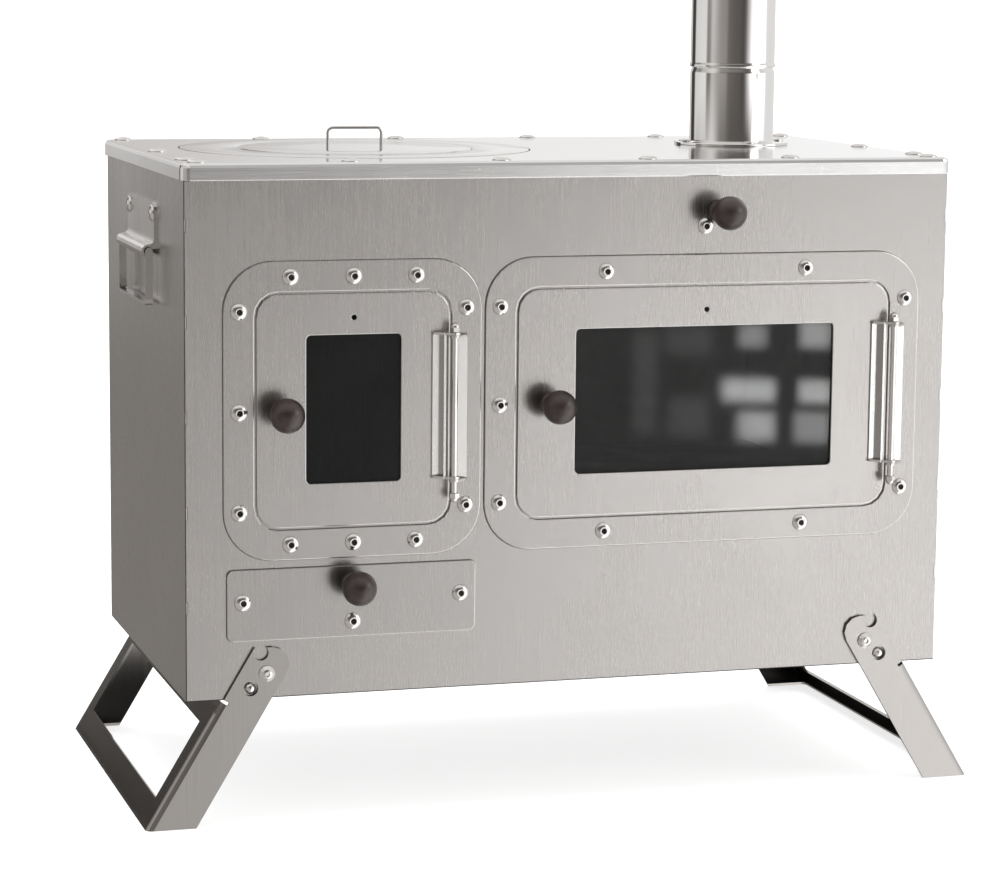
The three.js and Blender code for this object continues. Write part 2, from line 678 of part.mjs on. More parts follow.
// One pipe section: a lip and a socket end below, a drawn-in spigot end for the next section above.
function pipeSection() {
  const inner = FLUE_RADIUS - FLUE_WALL;
  const spigotRadius = inner - FIT_GAP;
  const shoulder = PIPE_LENGTH - FLUE_SPIGOT_LENGTH;
  return turnedRing([
    [inner, 0],
    [FLUE_RADIUS + PIPE_LIP, 0],
    [FLUE_RADIUS + PIPE_LIP, PIPE_LIP_HEIGHT],
    [FLUE_RADIUS, PIPE_LIP_HEIGHT + PIPE_LIP_TAPER],
    [FLUE_RADIUS, shoulder - FLUE_SWAGE],
    [spigotRadius, shoulder],
    [spigotRadius, PIPE_LENGTH],
    [spigotRadius - FLUE_WALL, PIPE_LENGTH],
    [spigotRadius - FLUE_WALL, shoulder],
    [inner, shoulder - FLUE_SWAGE],
  ]);
}

function addFlue(stove) {
  const flue = groupAt(stove, FLUE_CENTER_X, FLUE_CENTER_Y, LID_TOP_Z);
  addPiece(flue, 'flue_collar', flueCollar(), polishedSteel);
  const pipe = groupAt(flue, 0, 0, FLUE_COLLAR_HEIGHT + FIT_GAP);
  addPiece(pipe, 'chimney_pipe', pipeSection(), polishedSteel);
}

// ---------------------------------------------------------------- knobs

// A ball knob about the Y axis, from its foot at y = 0 forwards. The bore in its foot takes a shaft.
function ballKnob(length, boreRadius = SHAFT_RADIUS + FIT_GAP) {
  const centre = -(length - KNOB_RADIUS);
  const neckAngle = Math.asin(KNOB_NECK_RADIUS / KNOB_RADIUS);
  const steps = 7;
  const profile = [
    [0, -KNOB_BORE_DEPTH],
    [boreRadius, -KNOB_BORE_DEPTH],
    [boreRadius, 0],
    [KNOB_FOOT_RADIUS, 0],
    [KNOB_FOOT_RADIUS, -KNOB_FOOT_HEIGHT],
    [KNOB_NECK_RADIUS, -2 * KNOB_FOOT_HEIGHT],
  ];
  for (let i = 0; i <= steps; i += 1) {
    const angle = neckAngle + ((Math.PI - neckAngle) * i) / steps;
    const radius = i === steps ? 0 : KNOB_RADIUS * Math.sin(angle);
    profile.push([radius, centre + KNOB_RADIUS * Math.cos(angle)]);
  }
  return turnedY(profile);
}

// ---------------------------------------------------------------- doors

// Door pieces are drawn about the door's centre, on the front panel's front face.
const DOOR_INNER_Y = -FIT_GAP;
const DOOR_OUTER_Y = DOOR_INNER_Y - DOOR_SHEET;
const GLASS_BACK_Y = GLASS_THICKNESS;

function doorFrame(door) {
  const shape = roundedRect(THREE.Shape, 0, 0, door.frameWidth, FRAME_HEIGHT, FRAME_CORNER_RADIUS, 8);
  const holeWidth = door.doorWidth + 2 * FRAME_GAP;
  const holeHeight = DOOR_HEIGHT + 2 * FRAME_GAP;
  const radius = DOOR_CORNER_RADIUS + FRAME_GAP;
  shape.holes.push(roundedRect(THREE.Path, 0, 0, holeWidth, holeHeight, radius));
  return plateY(shape, -FRAME_SHEET, 0);
}

function doorPlate(door, knobX) {
  const shape = roundedRect(THREE.Shape, 0, 0, door.doorWidth, DOOR_HEIGHT, DOOR_CORNER_RADIUS);
  shape.holes.push(
    roundedRect(THREE.Path, 0, WINDOW_LIFT, door.windowWidth, WINDOW_HEIGHT, WINDOW_CORNER_RADIUS),
    circle(knobX, 0, SHAFT_RADIUS + FIT_GAP),
    circle(0, VENT_HOLE_LIFT, VENT_HOLE_RADIUS),
  );
  return plateY(shape, DOOR_OUTER_Y, DOOR_INNER_Y);
}

function glassPane(door) {
  const [width, height] = [door.windowWidth + 2 * GLASS_LAP, WINDOW_HEIGHT + 2 * GLASS_LAP];
  const shape = roundedRect(THREE.Shape, 0, WINDOW_LIFT, width, height, WINDOW_CORNER_RADIUS);
  return plateY(shape, DOOR_INNER_Y + FIT_GAP, GLASS_BACK_Y);
}

// A shallow frame that holds the pane against the back of the door.
function glassRetainer(door) {
  const rim = GLASS_LAP + FIT_GAP;
  const outer = rim + RETAINER_SHEET;
  const back = GLASS_BACK_Y + FIT_GAP;
  const outline = (grow, kind, radius) =>
    roundedRect(kind, 0, WINDOW_LIFT, door.windowWidth + 2 * grow, WINDOW_HEIGHT + 2 * grow, radius);
  const wall = outline(outer, THREE.Shape, WINDOW_CORNER_RADIUS + RETAINER_SHEET);
  wall.holes.push(outline(rim, THREE.Path, WINDOW_CORNER_RADIUS));
  const face = outline(outer, THREE.Shape, WINDOW_CORNER_RADIUS + RETAINER_SHEET);
  face.holes.push(outline(RETAINER_VIEW, THREE.Path, WINDOW_CORNER_RADIUS));
  return joined(
    plateY(wall, DOOR_INNER_Y, back + RETAINER_SHEET),
    plateY(face, back, back + RETAINER_SHEET),
  );
}

// Shaft and tongue in one, about the knob's axis. The tongue hangs down when the door is free.
function latch(tongueLength) {
  const tongueY = FRONT_SHEET + LATCH_CLEARANCE;
  const shaftFront = DOOR_OUTER_Y - KNOB_BORE_DEPTH + SHAFT_END_GAP;
  const tongue = roundedRect(
    THREE.Shape,
    0,
    -(tongueLength - LATCH_HALF_WIDTH) / 2,
    2 * LATCH_HALF_WIDTH,
    tongueLength + LATCH_HALF_WIDTH,
    LATCH_HALF_WIDTH - END_FLAT,
  );
  return joined(
    rodY(SHAFT_RADIUS, 0, 0, shaftFront, tongueY + LATCH_THICKNESS + LATCH_SHAFT_END),
    plateY(tongue, tongueY, tongueY + LATCH_THICKNESS),
  );
}

// One leaf of a hinge, about the pin's axis: a web on a flat face, with an ear at each end that
// reaches the pin. side is -1 for the leaf on the door, +1 for the leaf on the frame. The two
// leaves are alike in height, and the door's sits one sheet higher.
function hingeLeaf({ side, start, reach, faceY, lift, flange }) {
  const radius = HINGE_EAR_RADIUS;
  const shoulder = faceY - 2 * HINGE_SHEET;
  const frontTouch = Math.atan2(shoulder, reach) - Math.acos(radius / Math.hypot(shoulder, reach));
  const backTouch = Math.atan2(faceY, start) + Math.acos(radius / Math.hypot(faceY, start));
  const outline = new THREE.Shape();
  outline.moveTo(start, faceY);
  outline.lineTo(reach, faceY);
  outline.lineTo(reach, shoulder);
  outline.absarc(0, 0, radius, frontTouch, backTouch, true);
  const ear = facing(side, outline, 5);
  const low = lift - HINGE_HEIGHT / 2;
  const high = lift + HINGE_HEIGHT / 2;
  const xs = [side * start, side * reach].sort((a, b) => a - b);
  const solids = [
    block(...xs, faceY - HINGE_SHEET, faceY, low, high),
    plateZ(ear, low, low + HINGE_SHEET),
    plateZ(ear, high - HINGE_SHEET, high),
  ];
  if (flange) {
    const flangeXs = [side * start, side * (start + HINGE_SHEET)].sort((a, b) => a - b);
    solids.push(block(...flangeXs, HINGE_FLANGE_START, faceY, low, high));
  }
  const bore = rodZ(HINGE_PIN_RADIUS + HINGE_BORE_GAP, 0, 0, low - 1, high + 1);
  return cut(joined(...solids), bore);
}

// The pin with its two cap nuts. It stands on below the lower ear.
function hingePin(low, high) {
  const nut = CAP_NUT_RADIUS;
  const tail = low - HINGE_TAIL;
  return turnedZ([
    [0, tail - CAP_NUT_HEIGHT],
    [nut * 0.55, tail - CAP_NUT_HEIGHT + 0.5],
    [nut * 0.85, tail - CAP_NUT_HEIGHT / 2],
    [nut, tail - CAP_NUT_HEIGHT / 2],
    [nut, tail],
    [HINGE_PIN_RADIUS, tail],
    [HINGE_PIN_RADIUS, high],
    [nut, high],
    [nut, high + CAP_NUT_HEIGHT / 2],
    [nut * 0.85, high + CAP_NUT_HEIGHT / 2],
    [nut * 0.55, high + CAP_NUT_HEIGHT - 0.5],
    [0, high + CAP_NUT_HEIGHT],
  ], 12);
}

function addDoor(stove, door) {
  const at = groupAt(stove, door.x, FRONT_Y, DOOR_Z);
  const knobX = -door.doorWidth / 2 + door.knobInset;
  addPiece(at, `${door.name}_frame`, doorFrame(door), brushedSteel);
  addPiece(at, `${door.name}_door`, doorPlate(door, knobX), brushedSteel);
  addPiece(at, `${door.name}_glass`, glassPane(door), ceramicGlass);
  addPiece(at, `${door.name}_glass_retainer`, glassRetainer(door), innerSteel);

  const knob = groupAt(at, knobX, 0, 0);
  addPiece(knob, `${door.name}_latch`, latch(door.knobInset - DOOR_LAP + LATCH_LAP), boltSteel);
  const ball = groupAt(knob, 0, DOOR_OUTER_Y - FIT_GAP, 0);
  addPiece(ball, `${door.name}_knob`, ballKnob(FRONT_REACH + ball.position.y), brownKnob);

  const hinge = groupAt(at, door.doorWidth / 2 + HINGE_OUTSET, -HINGE_STANDOFF, WINDOW_LIFT);
  const doorLift = (HINGE_SHEET + FIT_GAP) / 2;
  const doorFace = DOOR_OUTER_Y + HINGE_STANDOFF;
  const frameFace = HINGE_STANDOFF - FRAME_SHEET;
  const onDoor = {
    side: -1,
    start: HINGE_LEAF_START,
    reach: HINGE_LEAF_REACH,
    faceY: doorFace,
    lift: doorLift,
    flange: true,
  };
  const onFrame = {
    side: 1,
    start: HINGE_BODY_START,
    reach: HINGE_BODY_REACH,
    faceY: frameFace,
    lift: -doorLift,
    flange: false,
  };
  addPiece(hinge, `${door.name}_hinge_door_leaf`, hingeLeaf(onDoor), polishedSteel);
  addPiece(hinge, `${door.name}_hinge_frame_leaf`, hingeLeaf(onFrame), polishedSteel);
  const pinEnd = HINGE_HEIGHT / 2 + doorLift + FIT_GAP;
  addPiece(hinge, `${door.name}_hinge_pin`, hingePin(-pinEnd, pinEnd), boltSteel);
}

// ---------------------------------------------------------------- ash drawer

function ashTray() {
  const [half, floor] = [ASH_TRAY_WIDTH / 2, -ASH_TRAY_HEIGHT / 2];
  const wall = ASH_TRAY_SHEET;
  const outer = block(-half, half, DOOR_INNER_Y, ASH_TRAY_DEPTH, floor, -floor);
  const [y0, y1] = [DOOR_INNER_Y + wall, ASH_TRAY_DEPTH - wall];
  return cut(outer, block(-half + wall, half - wall, y0, y1, floor + wall, -floor + 1));
}

function addAshDrawer(stove) {
  const at = groupAt(stove, ASH_CENTER_X, FRONT_Y, ASH_Z);
  const front = roundedRect(THREE.Shape, 0, 0, ASH_PLATE_WIDTH, ASH_PLATE_HEIGHT, ASH_PLATE_CORNER_RADIUS);
  const plateFace = DOOR_INNER_Y - ASH_PLATE_SHEET;
  addPiece(at, 'ash_drawer_front', plateY(front, plateFace, DOOR_INNER_Y), brushedSteel);
  addPiece(at, 'ash_drawer_tray', ashTray(), innerSteel);
  const knob = groupAt(at, 0, plateFace, ASH_KNOB_LIFT);
  addPiece(knob, 'ash_drawer_knob', ballKnob(FRONT_REACH + plateFace), brownKnob);
}

// An L-shaped rail from the front panel to the back wall. side says which way its foot points.
function ashRunner(side) {
  const wallX = ASH_CENTER_X - side * (ASH_TRAY_WIDTH / 2 + ASH_OPENING_GAP + RUNNER_SHEET);
  const underTray = ASH_TRAY_FLOOR_Z - FIT_GAP;
  const footXs = [wallX, wallX + side * RUNNER_FOOT].sort((a, b) => a - b);
  const wallXs = [wallX, wallX + side * RUNNER_SHEET].sort((a, b) => a - b);
  const [y0, y1] = [PANEL_BACK_Y, INNER_BACK_Y];
  return joined(
    block(...footXs, y0, y1, underTray - RUNNER_SHEET, underTray),
    block(...wallXs, y0, y1, underTray - RUNNER_SHEET, underTray + RUNNER_HEIGHT),
  );
}

// ---------------------------------------------------------------- fire chamber and oven

const LINER_LEFT_X = OVEN_CENTER_X - LINER_WIDTH / 2 - LINER_SHEET;
const LINER_UNDER_Z = BASE_Z + LINER_FLOOR_HEIGHT - LINER_SHEET;
const DIVIDER_X = LINER_LEFT_X - DIVIDER_OUTSET; // the divider's left face
const GRATE_Z = BASE_Z + GRATE_HEIGHT;

function grate() {
  const [x0, x1] = [-INNER_SIDE_X + GRATE_GAP, DIVIDER_X - GRATE_GAP];
  const [y0, y1] = [PANEL_BACK_Y + GRATE_GAP, INNER_BACK_Y - GRATE_GAP];
  const slotLength = (x1 - x0 - 3 * GRATE_MARGIN) / 2;
  const pitch = (y1 - y0 - 2 * GRATE_MARGIN) / (GRATE_SLOT_COUNT - 1);
  const slots = [];
  for (let row = 0; row < GRATE_SLOT_COUNT; row += 1) {
    const y = y0 + GRATE_MARGIN + row * pitch;
    for (const column of [0, 1]) {
      const x = x0 + GRATE_MARGIN + column * (slotLength + GRATE_MARGIN);
      const half = GRATE_SLOT_WIDTH / 2;
      slots.push(block(x, x + slotLength, y - half, y + half, GRATE_Z - 1, GRATE_Z + GRATE_SHEET + 1));
    }
  }
  return cut(block(x0, x1, y0, y1, GRATE_Z, GRATE_Z + GRATE_SHEET), ...slots);
}

// An angle under one edge of the grate. side says which way its foot points from the wall at wallX.
function grateLedge(wallX, side) {
  const top = GRATE_Z - FIT_GAP;
  const footXs = [wallX, wallX + side * LEDGE_WIDTH].sort((a, b) => a - b);
  const wallXs = [wallX, wallX + side * LEDGE_SHEET].sort((a, b) => a - b);
  const [y0, y1] = [PANEL_BACK_Y + FIT_GAP, INNER_BACK_Y - WRAP_CORNER_RADIUS];
  return joined(
    block(...footXs, y0, y1, top - LEDGE_SHEET, top),
    block(...wallXs, y0, y1, top - LEDGE_WIDTH, top),
  );
}

function chamberDivider() {
  const z0 = BASE_Z + BOTTOM_SHEET;
  const x1 = DIVIDER_X + DIVIDER_SHEET;
  return joined(
    block(DIVIDER_X, x1, PANEL_BACK_Y, INNER_BACK_Y, z0, LINER_UNDER_Z - FIT_GAP),
    block(DIVIDER_X, x1 + LEDGE_WIDTH, PANEL_BACK_Y, INNER_BACK_Y, z0, z0 + DIVIDER_SHEET),
  );
}

function ovenLiner() {
  const x1 = OVEN_CENTER_X + LINER_WIDTH / 2 + LINER_SHEET;
  const y1 = PANEL_BACK_Y + LINER_DEPTH + LINER_SHEET;
  const z1 = LINER_UNDER_Z + LINER_HEIGHT + 2 * LINER_SHEET;
  const t = LINER_SHEET;
  const outer = block(LINER_LEFT_X, x1, PANEL_BACK_Y, y1, LINER_UNDER_Z, z1);
  return cut(outer, block(LINER_LEFT_X + t, x1 - t, PANEL_BACK_Y - 1, y1 - t, LINER_UNDER_Z + t, z1 - t));
}

function addInside(stove) {
  addPiece(stove, 'ash_runner_left', ashRunner(1), innerSteel);
  addPiece(stove, 'ash_runner_right', ashRunner(-1), innerSteel);
  addPiece(stove, 'fire_grate', grate(), blackenedSteel);
  addPiece(stove, 'grate_ledge_left', grateLedge(-INNER_SIDE_X, 1), innerSteel);
  addPiece(stove, 'grate_ledge_right', grateLedge(DIVIDER_X, -1), innerSteel);
  addPiece(stove, 'chamber_divider', chamberDivider(), innerSteel);
  addPiece(stove, 'oven_liner', ovenLiner(), innerSteel);
}

// ---------------------------------------------------------------- flue damper

const DAMPER_TOP_Z = DAMPER_ROD_Z - SHAFT_RADIUS - FIT_GAP;
const DAMPER_LEFT_X = DAMPER_ROD_X - DAMPER_ROD_INSET;
const DAMPER_RIGHT_X = DAMPER_LEFT_X + DAMPER_PLATE_WIDTH;

// A flat bar with one edge turned down, from the front panel to the back wall, under the plate.
function damperRail(x0, turnedEdgeX) {
  const top = DAMPER_TOP_Z - DAMPER_PLATE_SHEET - FIT_GAP;
  const sheet = DAMPER_RAIL_SHEET;
  const [y0, y1] = [PANEL_BACK_Y, INNER_BACK_Y];
  return joined(
    block(x0, x0 + DAMPER_RAIL_WIDTH, y0, y1, top - sheet, top),
    block(turnedEdgeX, turnedEdgeX + sheet, y0, y1, top - DAMPER_RAIL_WIDTH, top),
  );
}

// A bent bracket behind the front panel: a flange on the panel, beside the left rail, a shelf under
// the rod, and an eye for the rod at the shelf's back edge.
function damperGuide(railX) {
  const sheet = DAMPER_RAIL_SHEET;
  const shelfZ = DAMPER_TOP_Z;
  const eyeReach = SHAFT_RADIUS + DAMPER_EYE_RIM;
  const backY = PANEL_BACK_Y + DAMPER_GUIDE_REACH;
  const [x0, x1] = [DAMPER_ROD_X - DAMPER_GUIDE_LEFT, DAMPER_ROD_X + eyeReach];
  const bracket = joined(
    block(x0, railX - FIT_GAP, PANEL_BACK_Y, PANEL_BACK_Y + sheet, shelfZ - DAMPER_GUIDE_FLANGE, shelfZ),
    block(x0, x1, PANEL_BACK_Y, backY, shelfZ - sheet, shelfZ),
    block(DAMPER_ROD_X - eyeReach, x1, backY - sheet, backY, shelfZ - sheet, DAMPER_ROD_Z + eyeReach),
  );
  return cut(bracket, rodY(SHAFT_RADIUS + FIT_GAP, DAMPER_ROD_X, DAMPER_ROD_Z, PANEL_BACK_Y, backY + 1));
}

function addDamper(stove) {
  const plateBackY = DAMPER_PLATE_FRONT_Y + DAMPER_PLATE_LENGTH;
  const railRightX = DAMPER_RIGHT_X - DAMPER_RAIL_WIDTH;
  const railLeftX = DAMPER_LEFT_X + 2 * SHAFT_RADIUS;
  addPiece(stove, 'damper_rail_left', damperRail(railLeftX, railLeftX), innerSteel);
  addPiece(stove, 'damper_rail_right', damperRail(railRightX, DAMPER_RIGHT_X - DAMPER_RAIL_SHEET), innerSteel);
  addPiece(stove, 'damper_guide', damperGuide(railLeftX), innerSteel);
  const plate = block(
    DAMPER_LEFT_X,
    DAMPER_RIGHT_X,
    DAMPER_PLATE_FRONT_Y,
    plateBackY,
    DAMPER_TOP_Z - DAMPER_PLATE_SHEET,
    DAMPER_TOP_Z,
  );
  addPiece(stove, 'damper_plate', plate, blackenedSteel);
  const rodFront = -KNOB_BORE_DEPTH + SHAFT_END_GAP;
  const rod = rodY(SHAFT_RADIUS, 0, 0, rodFront - FIT_GAP, plateBackY - FRONT_Y);
  const at = groupAt(stove, DAMPER_ROD_X, FRONT_Y, DAMPER_ROD_Z);
  addPiece(at, 'damper_rod', rod, boltSteel);
  const knob = groupAt(at, 0, -FIT_GAP, 0);
  addPiece(knob, 'damper_knob', ballKnob(FRONT_REACH - FIT_GAP), brownKnob);
}

// ---------------------------------------------------------------- legs

// A leg is drawn about its pivot at the body's left (side -1) or right (side +1) end. Two unit
// directions describe it: down the arm, and square to that towards its outer edge.
const LEAN = THREE.MathUtils.degToRad(LEG_LEAN_DEG);

function legPoint(down, out) {
  return [down * Math.cos(LEAN) + out * Math.sin(LEAN), -down * Math.sin(LEAN) + out * Math.cos(LEAN)];
}

// How far down the arm a line at the given offset meets the given height.
function downAt(height, out) {
  return (out * Math.cos(LEAN) - height) / Math.sin(LEAN);
}

function legArm(side) {
  const inner = LEG_PIVOT_OFFSET - LEG_WIDTH;
  const upperOut = LEG_PIVOT_OFFSET - LEG_SHOULDER;
  const lowerOut = LEG_PIVOT_OFFSET - LEG_BEND_RADIUS - LEG_SHEET / 2;
  const end = downAt(-PIVOT_Z, inner) + LEG_WIDTH;
  const reliefDown = downAt(-PIVOT_Z, LEG_PIVOT_OFFSET) - LEG_WEB_LENGTH - LEG_RELIEF;
  const top = LEG_TOP_HEIGHT;
  // The rounded corner touches the inner edge and the level top edge.
  const roundDown = downAt(top - LEG_TOP_RADIUS, inner + LEG_TOP_RADIUS);
  const shape = new THREE.Shape();
  shape.moveTo(...legPoint(end, inner));
  shape.lineTo(...legPoint(roundDown, inner));
  const [cx, cz] = legPoint(roundDown, inner + LEG_TOP_RADIUS);
  shape.absarc(cx, cz, LEG_TOP_RADIUS, Math.PI * 1.5 - LEAN, Math.PI / 2, true);
  shape.lineTo(...legPoint(downAt(top, upperOut), upperOut));
  shape.lineTo(...legPoint(reliefDown, upperOut));
  shape.lineTo(...legPoint(reliefDown, lowerOut));
  shape.lineTo(...legPoint(end, lowerOut));
  return facing(side, shape);
}

// The section of the leg's web and bends, square to the arm: x is the offset from the pivot.
function webSection() {
  const halfY = BACK_Y + ARM_OUTER_OFF;
  const outer = LEG_BEND_RADIUS;
  const inner = LEG_BEND_RADIUS - LEG_SHEET;
  const edge = LEG_PIVOT_OFFSET - LEG_BEND_RADIUS;
  const start = edge - LEG_SHEET;
  const right = LEG_PIVOT_OFFSET;
  const shape = new THREE.Shape();
  shape.moveTo(start, -halfY);
  shape.lineTo(edge, -halfY);
  shape.absarc(edge, -halfY + outer, outer, -Math.PI / 2, 0);
  shape.lineTo(right, halfY - outer);
  shape.absarc(edge, halfY - outer, outer, 0, Math.PI / 2);
  shape.lineTo(start, halfY);
  shape.lineTo(start, halfY - LEG_SHEET);
  shape.lineTo(edge, halfY - LEG_SHEET);
  shape.absarc(edge, halfY - outer, inner, Math.PI / 2, 0, true);
  shape.lineTo(right - LEG_SHEET, -halfY + outer);
  shape.absarc(edge, -halfY + outer, inner, 0, -Math.PI / 2, true);
  shape.lineTo(start, -halfY + LEG_SHEET);
  return shape;
}

// The bar with the given section from one place down the arm to another.
function legExtrusion(side, section, fromDown, toDown) {
  const length = toDown - fromDown;
  const geometry = new THREE.ExtrudeGeometry(section, { depth: length, bevelEnabled: false, curveSegments: 2 });
  const out = new THREE.Vector3(side * Math.sin(LEAN), 0, Math.cos(LEAN));
  const down = new THREE.Vector3(side * Math.cos(LEAN), 0, -Math.sin(LEAN));
  const across = new THREE.Vector3().crossVectors(down, out);
  geometry.translate(0, 0, fromDown);
  geometry.applyMatrix4(new THREE.Matrix4().makeBasis(out, across, down));
  return solid(geometry);
}

function legFrame(side) {
  const halfY = BACK_Y + ARM_OUTER_OFF;
  const arm = legArm(side);
  const floorOut = downAt(-PIVOT_Z, LEG_PIVOT_OFFSET);
  const webTop = floorOut - LEG_WEB_LENGTH;
  const windowShape = roundedRect(
    THREE.Shape,
    LEG_PIVOT_OFFSET,
    0,
    4 * LEG_SHEET,
    2 * (halfY - LEG_BAR_WIDTH - LEG_SHEET),
    END_FLAT,
  );
  const window = legExtrusion(side, windowShape, webTop + LEG_BAR_WIDTH, floorOut - LEG_BAR_WIDTH);
  const below = block(-LEG_PIVOT_X, LEG_PIVOT_X, -BODY_DEPTH, BODY_DEPTH, -2 * PIVOT_Z, -PIVOT_Z);
  const frame = joined(
    plateY(arm, -halfY, -halfY + LEG_SHEET),
    plateY(arm, halfY - LEG_SHEET, halfY),
    legExtrusion(side, webSection(), webTop, floorOut + LEG_WIDTH),
  );
  const foldedAngle = LOCK_ANGLE - THREE.MathUtils.degToRad(LEG_FOLD_DEG);
  const holes = [LOCK_ANGLE, foldedAngle].map((angle) => {
    const [x, z] = [side * LEG_LOCK_RADIUS * Math.cos(angle), -LEG_LOCK_RADIUS * Math.sin(angle)];
    return rodY(LEG_LOCK_HOLE_RADIUS, x, z, -BODY_DEPTH, BODY_DEPTH);
  });
  return cut(frame, window, below, rodY(PIVOT_RADIUS + FIT_GAP, 0, 0, -BODY_DEPTH, BODY_DEPTH), ...holes);
}

// Bolt and nut through an arm and the wall behind it, about the pivot. y runs inwards from the
// body's face.
function pivotBolt() {
  const head = -(ARM_OUTER_OFF + FIT_GAP);
  const tip = head - PIVOT_HEAD_HEIGHT;
  const nutStart = Math.max(FRONT_SHEET, WRAP_SHEET) + FIT_GAP;
  const nut = new THREE.CylinderGeometry(PIVOT_NUT_RADIUS, PIVOT_NUT_RADIUS, PIVOT_NUT_HEIGHT, 6);
  nut.translate(0, nutStart + PIVOT_NUT_HEIGHT / 2, 0);
  const boltEnd = nutStart + PIVOT_NUT_HEIGHT + PIVOT_NUT_STICKOUT;
  const bolt = turnedY([
    [0, tip + PIVOT_SOCKET_DEPTH],
    [PIVOT_SOCKET_RADIUS, tip + PIVOT_SOCKET_DEPTH],
    [PIVOT_SOCKET_RADIUS, tip],
    [PIVOT_HEAD_RADIUS * 0.6, tip + 0.2],
    [PIVOT_HEAD_RADIUS, head - 0.5],
    [PIVOT_HEAD_RADIUS, head],
    [PIVOT_RADIUS, head],
    [PIVOT_RADIUS, boltEnd],
    [0, boltEnd],
  ], 12);
  return joined(bolt, solid(nut));
}

// A leaf spring behind the wall, with a button through the wall and the arm's lock hole. Drawn
// about the button's axis; y runs inwards from the body's face, and the leaf runs outwards.
function legLock(side) {
  const leafFront = Math.max(FRONT_SHEET, WRAP_SHEET) + FIT_GAP;
  const armFace = -ARM_OUTER_OFF;
  const tip = armFace - LOCK_BUTTON_PROUD;
  const leaf = roundedRect(
    THREE.Shape,
    side * (LOCK_LEAF_LENGTH - LOCK_LEAF_WIDTH) / 2,
    0,
    LOCK_LEAF_LENGTH,
    LOCK_LEAF_WIDTH,
    LOCK_LEAF_WIDTH / 2 - END_FLAT,
  );
  const button = turnedY([
    [0, tip],
    [LOCK_BUTTON_RADIUS * 0.6, tip + LOCK_DOME_HEIGHT / 5],
    [LOCK_BUTTON_RADIUS, tip + LOCK_DOME_HEIGHT],
    [LOCK_BUTTON_RADIUS, leafFront + LOCK_LEAF_SHEET],
    [0, leafFront + LOCK_LEAF_SHEET],
  ], 12);
  return joined(button, plateY(leaf, leafFront, leafFront + LOCK_LEAF_SHEET));
}

function addLegs(stove) {
  for (const [sideName, side] of [['left', -1], ['right', 1]]) {
    const pivotX = side * LEG_PIVOT_X;
    addPiece(groupAt(stove, pivotX, 0, PIVOT_Z), `${sideName}_leg`, legFrame(side), brushedSteel);
    for (const [wallName, wallY, turn] of [['front', FRONT_Y, 0], ['back', BACK_Y, Math.PI]]) {
      const pivot = groupAt(stove, pivotX, wallY, PIVOT_Z);
      pivot.rotation.z = turn;
      addPiece(pivot, `${sideName}_${wallName}_pivot_bolt`, pivotBolt(), boltSteel);
      const lock = groupAt(stove, pivotX + side * LOCK_OUT, wallY, PIVOT_Z - LOCK_DOWN);
      lock.rotation.z = turn;
      addPiece(lock, `${sideName}_${wallName}_lock`, legLock(turn ? -side : side), boltSteel);
    }
  }
}

// ---------------------------------------------------------------- carry handles

// Drawn about the bail's axis.
function handleBracket(side) {
  const wall = -HANDLE_AXIS_OFF;
  const outer = HANDLE_CURL_RADIUS;
  const inner = HANDLE_CURL_RADIUS - HANDLE_SHEET;
  const lip = (-5 * Math.PI) / 6;
  const start = (5 * Math.PI) / 6;
  const shoulder = 2 * HANDLE_CURL_RADIUS - 1;
  const section = new THREE.Shape();
  section.moveTo(wall, HANDLE_PLATE_HEIGHT);
  section.lineTo(wall + HANDLE_SHEET, HANDLE_PLATE_HEIGHT);
  section.lineTo(wall + HANDLE_SHEET, shoulder);
  section.quadraticCurveTo(wall + HANDLE_SHEET, outer, 0, outer);
  section.absarc(0, 0, outer, Math.PI / 2, lip, true);
  section.absarc(0, 0, inner, lip, start);
  section.lineTo(wall, inner * Math.sin(start));
  const bar = plateY(facing(side, section, 4), -HANDLE_HALF_WIDTH, HANDLE_HALF_WIDTH);
  const plateHeight = HANDLE_PLATE_HEIGHT + 2 * outer;
  const outline = roundedRect(
    THREE.Shape,
    0,
    HANDLE_PLATE_HEIGHT - plateHeight / 2,
    2 * HANDLE_HALF_WIDTH,
    plateHeight,
    HANDLE_CORNER_RADIUS,
  );
  const reach = HANDLE_AXIS_OFF + 2 * outer;
  const low = block(-reach, reach, -HANDLE_HALF_WIDTH, HANDLE_HALF_WIDTH, -2 * outer, outer);
  return bar.intersect(joined(plateX(outline, -reach, reach), low));
}

function bail() {
  const inner = HANDLE_HALF_WIDTH + FIT_GAP;
  const outer = inner + BAIL_SHEET;
  const strap = BAIL_STRAP / 2;
  const corner = BAIL_CORNER_RADIUS;
  const shape = new THREE.Shape();
  shape.moveTo(outer, 0);
  shape.absarc(outer - corner, -BAIL_DROP + corner, corner, 0, -Math.PI / 2, true);
  shape.absarc(-outer + corner, -BAIL_DROP + corner, corner, -Math.PI / 2, -Math.PI, true);
  shape.lineTo(-outer, 0);
  shape.lineTo(-inner, 0);
  shape.absarc(-outer + corner, -BAIL_DROP + corner, corner - BAIL_SHEET, -Math.PI, -Math.PI / 2);
  shape.absarc(outer - corner, -BAIL_DROP + corner, corner - BAIL_SHEET, -Math.PI / 2, 0);
  shape.lineTo(inner, 0);
  const ends = [-1, 1].map((end) => {
    const ys = [end * inner, end * outer].sort((a, b) => a - b);
    return rodY(strap, 0, 0, ...ys);
  });
  return joined(plateX(shape, -strap, strap), rodY(BAIL_BAR_RADIUS, 0, 0, -outer, outer), ...ends);
}

